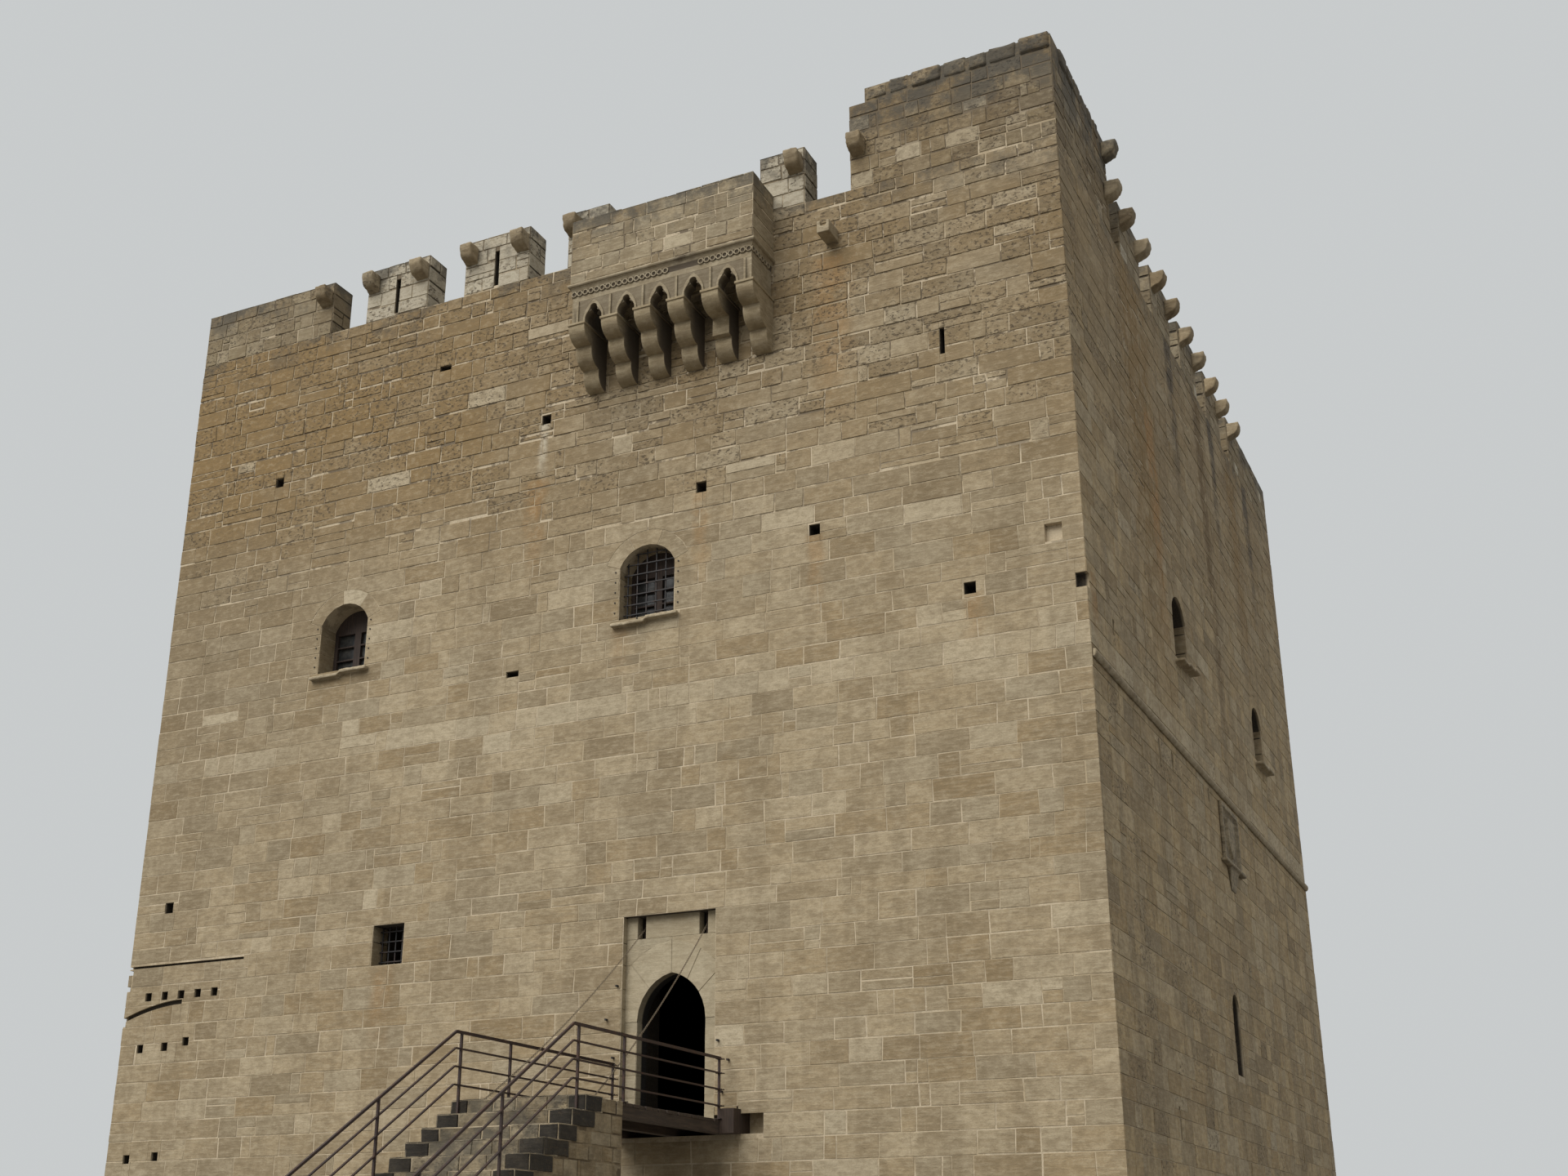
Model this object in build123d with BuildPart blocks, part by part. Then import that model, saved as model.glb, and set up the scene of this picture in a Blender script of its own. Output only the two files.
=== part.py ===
# Castle keep: a square stone tower with a battlemented parapet, a machicolation
# over the raised door, and a masonry stair with a fixed timber bridge.
# Units are millimetres. Origin: centre of the plan, on the ground.
# X runs east, Y runs north into the building, Z is up. The door is on the south.
import os
from build123d import *

# Walls and floors
WIDTH = 18500
WALL = 1250
SLAB = 300
DOOR_FLOOR = 4070
WINDOW_FLOOR = 11500
TERRACE = 19000

# Door: a pointed arch in a panel set back from the wall face, wider and higher behind
DOOR_X = 2140
PANEL_WIDTH = 1670
PANEL_HEIGHT = 3250
PANEL_SETBACK = 120
LINTEL = 280
DOOR_WIDTH = 1220
DOOR_JAMB = 1570
DOOR_RISE = 750
DOOR_ARCH = 330
EMBRASURE_HEIGHT = 2780
SLOT_WIDTH = 150
SLOT_HEIGHT = 360
SLOT_PITCH = 1120
SLOT_DEPTH = 600
ARM_WIDTH = 110
ARM_LENGTH = 420
SEAT_HEIGHT = 410
SEAT_DEPTH = 300
SEAT_WIDTH = 835

# Windows of the upper storey, from the middle of each wall
FRONT_WINDOWS = (-4935, 1570)
SIDE_WINDOWS = (-2750, 4650)
SILL_RISE = 920
WINDOW_WIDTH = 1080
WINDOW_JAMB = 1020
WINDOW_RISE = 370
WINDOW_REVEAL = 420
SILL_HEIGHT = 100
SILL_OVERHANG = 130
SILL_NOSE = 120
SIDE_SILL_NOSE = 200
SILL_FILLET = 45
CASEMENT_DEPTH = 60
CASEMENT_BAR = 75
GLAZING_BAR = 28
GLASS = 12

# Small openings, beam sockets and loops
SQUARE_WINDOW_X = -3380
SQUARE_WINDOW = 660
SQUARE_WINDOW_HEIGHT = 700
LANCET_Y = -650
LANCET_RISE = 1210
LANCET_WIDTH = 620
LANCET_JAMB = 1160
SOCKET = 200
SOCKET_DEPTH = 350
UPPER_SOCKETS = ((-640, 16730), (2610, 14700), (4740, 13490), (-6870, 16720))
MIDDLE_SOCKETS = ((7390, 11990), (-8470, 8330))
SMALL_SOCKET = 150
LOWER_SOCKETS = ((-8780, 5770), (-8200, 5780), (-7710, 5850), (-8790, 3840), (-8130, 3870))
SOCKET_ROW = (-7940, 6700)
SOCKET_ROW_PITCH = 390
SOCKET_ROW_COUNT = 5
LOOP_WIDTH = 90
LOOP_HEIGHT = 500
EAST_LOOPS = ((-5250, 10150), (-5820, 4070), (3960, 4370), (5170, 4350))
SHORT_LOOP = 260
SHORT_LOOPS = ((-7820, 11510), (-4290, 10250), (-1410, 10340))
FRONT_LOOP = (7090, 16460)

# Damage on the front: scars in the face, chips in the west corner, worn grooves
SCAR_DEPTH = 90
SCAR_WIDTH = 280
SCAR_HEIGHT = 300
SCAR = (8780, 12680)
HOLE_WIDTH = 260
HOLE_HEIGHT = 110
HOLES = ((-3010, 18370), (-1100, 11830))
CORNER_HOLE = 170
CORNER_HOLE_HEIGHT = 240
CORNER_HOLE_LEVEL = 11700
CORNER_DEPTH = 130
CHIP_HEIGHT = 90
CHIPS = ((7130, 90), (6830, 60), (6190, 50))
GROOVE_LEVEL = 7240
GROOVE_HEIGHT = 45
GROOVE_LENGTH = 2700
GROOVE_DEPTH = 70
WORN_LENGTH = 1350
WORN_HEIGHT = 85
WORN_LEVEL = 6260
WORN_RISE = 270
WORN_BOW = 60

# Parapet
PARAPET = 550
PARAPET_RISE = 870
MERLON = 1480
MERLON_HEIGHT = 1180
SHORT_MERLON = 880
FRONT_COUNT = 2
SIDE_COUNT = 4
FIRST_GAP = 710
BACK_COUNT = 5
CORNER_ARM = 3300
LONG_CORNER_ARM = 4650
SLIT_WIDTH = 110
SLIT_HEIGHT = 780
SLIT_RISE = 60
TURRET_FRONT = 3740
TURRET_SIDE = 3400
TURRET_RISE = 880
TURRET_ROOF = 300
TURRET_GAP = 300
TURRET_DOOR_WIDTH = 700
TURRET_DOOR_HEIGHT = 1750

# Corbel stones on the merlons
KNOB_WIDTH = 300
KNOB_HEIGHT = 380
KNOB_REACH = 300
KNOB_SPLAY = 90
KNOB_INSET = 155
KNOB_DROP = 540

# Machicolation over the door
BOX_REACH = 830
BOX_WALL = 260
BOX_HEIGHT = 1310
CORBEL_COUNT = 6
CORBEL_PITCH = 675
CORBEL_WIDTH = 330
CORBEL_DROP = 950
ROLL_COUNT = 3
ROLL_HEIGHT = 350
BREAK_OFFSET = 1012.5
BREAK_DEPTH = 170
CAP_HEIGHT = 50
CAP_REACH = 20
ARCH_BAND = 450
ARCADE_SETBACK = 40
ARCH_FOOT = 50
ARCH_EYE = 70
RIB = 28
RIB_WIDTH = 42
RIB_RISE = 410
CORNICE = 370
CORNICE_ROLL = 42
CORNICE_BAND = 120

# String course and armorial panel on the east wall
STRING_DROP = 1900
STRING_HEIGHT = 170
STRING_REACH = 90
ARMS_Y = 140
ARMS_WIDTH = 1500
ARMS_HEIGHT = 1150
ARMS_GAP = 80
ARMS_BORDER = 110
ARMS_REACH = 80
ARMS_BACK = 25
LEDGE_WIDTH = 1820
LEDGE_HEIGHT = 70
LEDGE_REACH = 130
BRACKET_WIDTH = 800
BRACKET_HEIGHT = 430
SHIELD_WIDTH = 620
SHIELD_HEIGHT = 760

# Water spout
SPOUT_X = 5140
SPOUT_SIZE = 240
SPOUT_REACH = 420
SPOUT_CHANNEL = 110

# Stair and bridge
STAIR_OFFSET = 110
STAIR_MARGIN = 105
STEP_COUNT = 20
TREAD = 315
BRIDGE_SPAN = 3300
PIER_BEARING = 520
LANDING = 430
JOINT = 2
BEAM_WIDTH = 160
DECK_THICKNESS = 50
STUB_WIDTH = 240
STUB_HEIGHT = 360
STUB_REACH = 250
RAIL_HEIGHT = 920
RAIL_LEAD = 160
RAIL_CLEARANCE = 200
RAIL_TUBE = 40
RAIL_BAR = 22
RAIL_SPACING = 240
POST = 32
POST_SPACING = 1200
STAIR_POST_STEPS = (14, 9, 4, 1)
CHAIN = 24
CHAIN_SAG = 160
CHAIN_RISE = 240
EYE_HEIGHT = 70
EYE_RADIUS = 22

HALF = WIDTH / 2
INSIDE = WIDTH - 2 * WALL
STEP_RISE = DOOR_FLOOR / STEP_COUNT
BRIDGE_SEAT = DOOR_FLOOR - STEP_RISE
PANEL_TOP = DOOR_FLOOR + PANEL_HEIGHT
LOWER_TOP = PANEL_TOP + LINTEL
SILL_BED = WINDOW_FLOOR + SILL_RISE
CRENEL_SILL = TERRACE + PARAPET_RISE
MERLON_TOP = CRENEL_SILL + MERLON_HEIGHT
TURRET_TOP = MERLON_TOP + TURRET_RISE
PANEL_LEFT = DOOR_X - PANEL_WIDTH / 2
PANEL_RIGHT = DOOR_X + PANEL_WIDTH / 2

FRONT = Plane(origin=(0, -HALF, 0), x_dir=(1, 0, 0), z_dir=(0, -1, 0))
EAST = Plane(origin=(HALF, 0, 0), x_dir=(0, 1, 0), z_dir=(1, 0, 0))
BACK = Plane(origin=(0, HALF, 0), x_dir=(-1, 0, 0), z_dir=(0, 1, 0))
WEST = Plane(origin=(-HALF, 0, 0), x_dir=(0, -1, 0), z_dir=(-1, 0, 0))
BASE = (Align.CENTER, Align.MIN)
LEFT_BASE = (Align.MIN, Align.MIN)
HEAD = (Align.CENTER, Align.MAX)

# Outline of an upper window, drawn from the middle of its sill bed
with BuildSketch() as window_shape:
    with BuildLine():
        Polyline(
            (-WINDOW_WIDTH / 2, WINDOW_JAMB),
            (-WINDOW_WIDTH / 2, 0),
            (WINDOW_WIDTH / 2, 0),
            (WINDOW_WIDTH / 2, WINDOW_JAMB),
        )
        ThreePointArc(
            (WINDOW_WIDTH / 2, WINDOW_JAMB),
            (0, WINDOW_JAMB + WINDOW_RISE),
            (-WINDOW_WIDTH / 2, WINDOW_JAMB),
        )
    make_face()

# Pointed outline of the door: two arcs of one radius that meet over the middle
DOOR_RADIUS = (DOOR_RISE**2 + DOOR_WIDTH**2 / 4) / DOOR_WIDTH
with BuildSketch() as door_shape:
    with BuildLine():
        Polyline(
            (-DOOR_WIDTH / 2, DOOR_JAMB),
            (-DOOR_WIDTH / 2, 0),
            (DOOR_WIDTH / 2, 0),
            (DOOR_WIDTH / 2, DOOR_JAMB),
        )
        RadiusArc((DOOR_WIDTH / 2, DOOR_JAMB), (0, DOOR_JAMB + DOOR_RISE), -DOOR_RADIUS)
        RadiusArc((0, DOOR_JAMB + DOOR_RISE), (-DOOR_WIDTH / 2, DOOR_JAMB), -DOOR_RADIUS)
    make_face()

# Floors: slabs that span between the walls
with BuildPart() as ground_floor:
    with BuildSketch(Plane.XY):
        Rectangle(INSIDE, INSIDE)
    extrude(amount=SLAB)

with BuildPart() as first_floor:
    with BuildSketch(Plane.XY.offset(DOOR_FLOOR)):
        Rectangle(INSIDE, INSIDE)
    extrude(amount=-SLAB)

with BuildPart() as second_floor:
    with BuildSketch(Plane.XY.offset(WINDOW_FLOOR)):
        Rectangle(INSIDE, INSIDE)
    extrude(amount=-SLAB)

with BuildPart() as roof_terrace:
    with BuildSketch(Plane.XY.offset(TERRACE)):
        Rectangle(INSIDE, INSIDE)
    extrude(amount=-SLAB)

# Front wall, split round the doorway, with beam sockets left by the builders
with BuildPart() as front_wall_left:
    with BuildSketch(FRONT):
        with Locations((-HALF, 0)):
            Rectangle(HALF + PANEL_LEFT, LOWER_TOP, align=LEFT_BASE)
        with Locations((SQUARE_WINDOW_X, LOWER_TOP)):
            Rectangle(SQUARE_WINDOW, SQUARE_WINDOW_HEIGHT, align=HEAD, mode=Mode.SUBTRACT)
    extrude(amount=-WALL)
    with BuildSketch(FRONT):
        with Locations(*LOWER_SOCKETS):
            Rectangle(SMALL_SOCKET, SMALL_SOCKET)
        with Locations(SOCKET_ROW):
            with GridLocations(SOCKET_ROW_PITCH, 0, SOCKET_ROW_COUNT, 1):
                Rectangle(SMALL_SOCKET, SMALL_SOCKET)
    extrude(amount=-SOCKET_DEPTH, mode=Mode.SUBTRACT)
    with BuildSketch(FRONT):
        for level, width in CHIPS:
            with Locations((-HALF, level)):
                Rectangle(width, CHIP_HEIGHT, align=LEFT_BASE)
    extrude(amount=-CORNER_DEPTH, mode=Mode.SUBTRACT)
    with BuildSketch(FRONT):
        with Locations((-HALF, GROOVE_LEVEL)):
            Rectangle(GROOVE_LENGTH, GROOVE_HEIGHT, align=LEFT_BASE)
        with BuildLine():
            ThreePointArc(
                (-HALF, WORN_LEVEL),
                (-HALF + WORN_LENGTH / 2, WORN_LEVEL + WORN_RISE / 2 + WORN_BOW),
                (-HALF + WORN_LENGTH, WORN_LEVEL + WORN_RISE),
            )
            Line(
                (-HALF + WORN_LENGTH, WORN_LEVEL + WORN_RISE),
                (-HALF + WORN_LENGTH, WORN_LEVEL + WORN_RISE + WORN_HEIGHT),
            )
            ThreePointArc(
                (-HALF + WORN_LENGTH, WORN_LEVEL + WORN_RISE + WORN_HEIGHT),
                (-HALF + WORN_LENGTH / 2, WORN_LEVEL + WORN_RISE / 2 + WORN_BOW + WORN_HEIGHT),
                (-HALF, WORN_LEVEL + WORN_HEIGHT),
            )
            Line((-HALF, WORN_LEVEL + WORN_HEIGHT), (-HALF, WORN_LEVEL))
        make_face()
    extrude(amount=-GROOVE_DEPTH, mode=Mode.SUBTRACT)

with BuildPart() as front_wall_right:
    with BuildSketch(FRONT):
        with Locations((PANEL_RIGHT, 0)):
            Rectangle(HALF - PANEL_RIGHT, LOWER_TOP, align=LEFT_BASE)
    extrude(amount=-WALL)
    with BuildSketch(FRONT):
        with Locations((PANEL_RIGHT, BRIDGE_SEAT)):
            Rectangle(SEAT_WIDTH, SEAT_HEIGHT, align=LEFT_BASE)
    extrude(amount=-SEAT_DEPTH, mode=Mode.SUBTRACT)

with BuildPart() as front_wall_below_door:
    with BuildSketch(FRONT):
        with Locations((DOOR_X, 0)):
            Rectangle(PANEL_WIDTH, BRIDGE_SEAT, align=BASE)
    extrude(amount=-WALL)

with BuildPart() as door_threshold:
    with BuildSketch(FRONT.offset(-SEAT_DEPTH)):
        with Locations((DOOR_X, BRIDGE_SEAT)):
            Rectangle(PANEL_WIDTH, STEP_RISE, align=BASE)
    extrude(amount=SEAT_DEPTH - WALL)

with BuildPart() as door_surround:
    with BuildSketch(FRONT.offset(-PANEL_SETBACK)):
        with Locations((DOOR_X, DOOR_FLOOR)):
            Rectangle(PANEL_WIDTH, PANEL_HEIGHT, align=BASE)
            add(door_shape.sketch, mode=Mode.SUBTRACT)
    extrude(amount=-DOOR_ARCH)
    with BuildSketch(FRONT.offset(-PANEL_SETBACK - DOOR_ARCH)):
        with Locations((DOOR_X, PANEL_TOP)):
            Rectangle(PANEL_WIDTH, PANEL_HEIGHT - EMBRASURE_HEIGHT, align=HEAD)
    extrude(amount=PANEL_SETBACK + DOOR_ARCH - WALL)
    with BuildSketch(FRONT.offset(-PANEL_SETBACK)):
        with Locations((DOOR_X, PANEL_TOP)):
            with GridLocations(SLOT_PITCH, 0, 2, 1):
                Rectangle(SLOT_WIDTH, SLOT_HEIGHT, align=HEAD)
    extrude(amount=-SLOT_DEPTH, mode=Mode.SUBTRACT)

with BuildPart() as door_lintel:
    with BuildSketch(FRONT):
        with Locations((DOOR_X, PANEL_TOP)):
            Rectangle(PANEL_WIDTH, LINTEL, align=BASE)
    extrude(amount=-WALL)

# Ends of the old lifting arms, left in the two slots over the door
with BuildPart() as lifting_arm_stubs:
    with BuildSketch(FRONT.offset(-PANEL_SETBACK - SLOT_DEPTH)):
        with Locations((DOOR_X, PANEL_TOP)):
            with GridLocations(SLOT_PITCH, 0, 2, 1):
                Rectangle(ARM_WIDTH, SLOT_HEIGHT, align=HEAD)
    extrude(amount=ARM_LENGTH)

with BuildPart() as front_wall_middle:
    with BuildSketch(FRONT):
        with Locations((0, LOWER_TOP)):
            Rectangle(WIDTH, SILL_BED - LOWER_TOP, align=BASE)
    extrude(amount=-WALL)
    with BuildSketch(FRONT):
        with Locations(*MIDDLE_SOCKETS):
            Rectangle(SOCKET, SOCKET)
        with Locations(HOLES[1]):
            Rectangle(HOLE_WIDTH, HOLE_HEIGHT)
    extrude(amount=-SOCKET_DEPTH, mode=Mode.SUBTRACT)
    with BuildSketch(FRONT):
        with Locations((HALF, CORNER_HOLE_LEVEL)):
            Rectangle(CORNER_HOLE, CORNER_HOLE_HEIGHT, align=(Align.MAX, Align.MIN))
    extrude(amount=-CORNER_DEPTH, mode=Mode.SUBTRACT)

with BuildPart() as front_wall_upper:
    with BuildSketch(FRONT):
        with Locations((0, SILL_BED)):
            Rectangle(WIDTH, TERRACE - SILL_BED, align=BASE)
        with Locations(*[(place, SILL_BED) for place in FRONT_WINDOWS]):
            add(window_shape.sketch, mode=Mode.SUBTRACT)
    extrude(amount=-WALL)
    with BuildSketch(FRONT):
        with Locations(*UPPER_SOCKETS):
            Rectangle(SOCKET, SOCKET)
        with Locations(FRONT_LOOP):
            Rectangle(LOOP_WIDTH, LOOP_HEIGHT)
        with Locations(HOLES[0]):
            Rectangle(HOLE_WIDTH, HOLE_HEIGHT)
    extrude(amount=-SOCKET_DEPTH, mode=Mode.SUBTRACT)
    with BuildSketch(FRONT):
        with Locations(SCAR):
            Rectangle(SCAR_WIDTH, SCAR_HEIGHT)
    extrude(amount=-SCAR_DEPTH, mode=Mode.SUBTRACT)

# Back wall
with BuildPart() as back_wall_lower:
    with BuildSketch(BACK):
        Rectangle(WIDTH, SILL_BED, align=BASE)
    extrude(amount=-WALL)

with BuildPart() as back_wall_upper:
    with BuildSketch(BACK):
        with Locations((0, SILL_BED)):
            Rectangle(WIDTH, TERRACE - SILL_BED, align=BASE)
        with Locations(*[(place, SILL_BED) for place in FRONT_WINDOWS]):
            add(window_shape.sketch, mode=Mode.SUBTRACT)
    extrude(amount=-WALL)

# East and west walls, which stand between the front and back walls
with BuildPart() as east_wall_lower:
    with BuildSketch(EAST):
        Rectangle(INSIDE, SILL_BED, align=BASE)
        with Locations((LANCET_Y, DOOR_FLOOR + LANCET_RISE)):
            Rectangle(LANCET_WIDTH, LANCET_JAMB, align=BASE, mode=Mode.SUBTRACT)
        with Locations((LANCET_Y, DOOR_FLOOR + LANCET_RISE + LANCET_JAMB)):
            Circle(LANCET_WIDTH / 2, mode=Mode.SUBTRACT)
    extrude(amount=-WALL)
    with BuildSketch(EAST):
        with Locations(*EAST_LOOPS):
            Rectangle(LOOP_WIDTH, LOOP_HEIGHT)
        with Locations(*SHORT_LOOPS):
            Rectangle(LOOP_WIDTH, SHORT_LOOP)
    extrude(amount=-SOCKET_DEPTH, mode=Mode.SUBTRACT)

with BuildPart() as east_wall_upper:
    with BuildSketch(EAST):
        with Locations((0, SILL_BED)):
            Rectangle(INSIDE, TERRACE - SILL_BED, align=BASE)
        with Locations(*[(place, SILL_BED) for place in SIDE_WINDOWS]):
            add(window_shape.sketch, mode=Mode.SUBTRACT)
    extrude(amount=-WALL)

with BuildPart() as west_wall_lower:
    with BuildSketch(WEST):
        Rectangle(INSIDE, SILL_BED, align=BASE)
    extrude(amount=-WALL)

with BuildPart() as west_wall_upper:
    with BuildSketch(WEST):
        with Locations((0, SILL_BED)):
            Rectangle(INSIDE, TERRACE - SILL_BED, align=BASE)
        with Locations(*[(place, SILL_BED) for place in SIDE_WINDOWS]):
            add(window_shape.sketch, mode=Mode.SUBTRACT)
    extrude(amount=-WALL)

# Low parapet walls, open in front where the machicolation is entered
BOX_WIDTH = (CORBEL_COUNT - 1) * CORBEL_PITCH + CORBEL_WIDTH
BOX_INSIDE = BOX_WIDTH - 2 * BOX_WALL
with BuildPart() as front_parapet:
    with BuildSketch(FRONT):
        with Locations((0, TERRACE)):
            Rectangle(WIDTH, PARAPET_RISE, align=BASE)
        with Locations((DOOR_X, TERRACE)):
            Rectangle(BOX_INSIDE, PARAPET_RISE, align=BASE, mode=Mode.SUBTRACT)
    extrude(amount=-PARAPET)

with BuildPart() as back_parapet:
    with BuildSketch(BACK):
        with Locations((0, TERRACE)):
            Rectangle(WIDTH, PARAPET_RISE, align=BASE)
    extrude(amount=-PARAPET)

with BuildPart() as side_parapets:
    with BuildSketch(EAST, WEST):
        with Locations((0, TERRACE)):
            Rectangle(WIDTH - 2 * PARAPET, PARAPET_RISE, align=BASE)
    extrude(amount=-PARAPET)

# Merlons, spread evenly between the corners; the front ones have arrow slits
SHORT_PITCH = BOX_INSIDE + SHORT_MERLON
front_start = CORNER_ARM - HALF
front_room = DOOR_X - SHORT_PITCH / 2 - SHORT_MERLON / 2 - front_start
front_gap = (front_room - FRONT_COUNT * MERLON) / (FRONT_COUNT + 1)
front_merlons = [
    front_start + front_gap + MERLON / 2 + i * (front_gap + MERLON) for i in range(FRONT_COUNT)
]
east_start = TURRET_SIDE - HALF
east_room = WIDTH - TURRET_SIDE - FIRST_GAP - LONG_CORNER_ARM
east_gap = (east_room - SIDE_COUNT * MERLON) / SIDE_COUNT
east_merlons = [
    east_start + FIRST_GAP + MERLON / 2 + i * (east_gap + MERLON) for i in range(SIDE_COUNT)
]
west_start = LONG_CORNER_ARM - HALF
west_gap = (WIDTH - CORNER_ARM - LONG_CORNER_ARM - SIDE_COUNT * MERLON) / (SIDE_COUNT + 1)
west_merlons = [
    west_start + west_gap + MERLON / 2 + i * (west_gap + MERLON) for i in range(SIDE_COUNT)
]
back_gap = (WIDTH - 2 * CORNER_ARM - BACK_COUNT * MERLON) / (BACK_COUNT + 1)
back_merlons = [(i - (BACK_COUNT - 1) / 2) * (back_gap + MERLON) for i in range(BACK_COUNT)]
with BuildPart() as merlons:
    with BuildSketch(FRONT):
        with Locations(*[(place, CRENEL_SILL) for place in front_merlons]):
            Rectangle(MERLON, MERLON_HEIGHT, align=BASE)
        with Locations((DOOR_X, CRENEL_SILL)):
            with GridLocations(SHORT_PITCH, 0, 2, 1):
                Rectangle(SHORT_MERLON, MERLON_HEIGHT, align=BASE)
        with Locations(*[(place, CRENEL_SILL + SLIT_RISE) for place in front_merlons]):
            Rectangle(SLIT_WIDTH, SLIT_HEIGHT, align=BASE, mode=Mode.SUBTRACT)
    extrude(amount=-PARAPET)
    for side, places in ((EAST, east_merlons), (WEST, west_merlons), (BACK, back_merlons)):
        with BuildSketch(side):
            with Locations(*[(place, CRENEL_SILL) for place in places]):
                Rectangle(MERLON, MERLON_HEIGHT, align=BASE)
        extrude(amount=-PARAPET)

# L-shaped merlons that turn the three plain corners
with BuildPart() as corner_merlons:
    with BuildSketch(Plane.XY.offset(CRENEL_SILL)):
        with Locations((-HALF, -HALF)):
            Rectangle(CORNER_ARM, CORNER_ARM, align=LEFT_BASE)
        with Locations((-HALF, HALF)):
            Rectangle(CORNER_ARM, LONG_CORNER_ARM, align=(Align.MIN, Align.MAX))
        with Locations((HALF, HALF)):
            Rectangle(CORNER_ARM, LONG_CORNER_ARM, align=(Align.MAX, Align.MAX))
        Rectangle(WIDTH - 2 * PARAPET, WIDTH - 2 * PARAPET, mode=Mode.SUBTRACT)
    extrude(amount=MERLON_HEIGHT)

# Corbel stones that stand out of the merlons: flat above, splayed and rounded below
KNOB_LEVEL = MERLON_TOP - KNOB_DROP
UPPER_KNOB_LEVEL = TURRET_TOP - KNOB_DROP
knob_ends = (KNOB_INSET - MERLON / 2, MERLON / 2 - KNOB_INSET)
short_end = SHORT_PITCH / 2 + SHORT_MERLON / 2 - KNOB_INSET
front_knobs = [place + end for place in front_merlons for end in knob_ends]
front_knobs += [front_start - KNOB_INSET, HALF - TURRET_FRONT + KNOB_INSET]
front_knobs += [DOOR_X - short_end, DOOR_X + short_end]
east_knobs = [place + end for place in east_merlons for end in knob_ends]
east_knobs += [east_start - KNOB_INSET, HALF - LONG_CORNER_ARM + KNOB_INSET]
west_knobs = [place + end for place in west_merlons for end in knob_ends]
west_knobs += [west_start - KNOB_INSET, HALF - CORNER_ARM + KNOB_INSET]
back_knobs = [place + end for place in back_merlons for end in knob_ends]
knob_places = [(FRONT, place, KNOB_LEVEL) for place in front_knobs]
knob_places += [(EAST, place, KNOB_LEVEL) for place in east_knobs]
knob_places += [(EAST, east_start - KNOB_INSET, UPPER_KNOB_LEVEL)]
knob_places += [(WEST, place, KNOB_LEVEL) for place in west_knobs]
knob_places += [(BACK, place, KNOB_LEVEL) for place in back_knobs]
with BuildPart() as merlon_corbels:
    for side, along, level in knob_places:
        foot = side.from_local_coords(Vector(along, level, 0))
        with BuildSketch(Plane(origin=foot, x_dir=side.z_dir, z_dir=-side.x_dir)):
            with BuildLine():
                Polyline(
                    (KNOB_REACH, KNOB_REACH),
                    (KNOB_REACH, KNOB_HEIGHT),
                    (0, KNOB_HEIGHT),
                    (0, 0),
                    (KNOB_REACH - KNOB_SPLAY, KNOB_SPLAY),
                )
                RadiusArc((KNOB_REACH - KNOB_SPLAY, KNOB_SPLAY), (KNOB_REACH, KNOB_REACH), -KNOB_REACH)
            make_face()
        extrude(amount=KNOB_WIDTH / 2, both=True)

# Stair turret on the south-east corner: a hollow cap with a door to the terrace
TURRET_WEST = HALF - TURRET_FRONT
with BuildPart() as stair_turret:
    with BuildSketch(Plane.XY.offset(CRENEL_SILL)):
        with Locations((HALF, -HALF)):
            Rectangle(TURRET_FRONT, TURRET_SIDE, align=(Align.MAX, Align.MIN))
        with Locations((HALF - PARAPET, PARAPET - HALF)):
            Rectangle(
                TURRET_FRONT - 2 * PARAPET,
                TURRET_SIDE - 2 * PARAPET,
                align=(Align.MAX, Align.MIN),
                mode=Mode.SUBTRACT,
            )
    extrude(amount=TURRET_TOP - TURRET_ROOF - CRENEL_SILL)
    with BuildSketch(Plane.XY.offset(TERRACE)):
        with Locations((TURRET_WEST, PARAPET - HALF)):
            Rectangle(PARAPET, TURRET_SIDE - PARAPET, align=LEFT_BASE)
        with Locations((TURRET_WEST, east_start)):
            Rectangle(TURRET_FRONT - PARAPET, PARAPET, align=(Align.MIN, Align.MAX))
    extrude(amount=PARAPET_RISE)
    with BuildSketch(Plane.YZ.offset(TURRET_WEST)):
        with Locations((east_start - TURRET_SIDE / 2, TERRACE)):
            Rectangle(TURRET_DOOR_WIDTH, TURRET_DOOR_HEIGHT, align=BASE)
    extrude(amount=PARAPET, mode=Mode.SUBTRACT)

# Roof slab of the turret; the first stone of its front edge is missing
with BuildPart() as turret_roof:
    with BuildSketch(Plane.XY.offset(TURRET_TOP)):
        with Locations((HALF, -HALF)):
            Rectangle(TURRET_FRONT, TURRET_SIDE, align=(Align.MAX, Align.MIN))
        with Locations((TURRET_WEST, -HALF)):
            Rectangle(TURRET_GAP, PARAPET, align=LEFT_BASE, mode=Mode.SUBTRACT)
    extrude(amount=-TURRET_ROOF)

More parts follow.
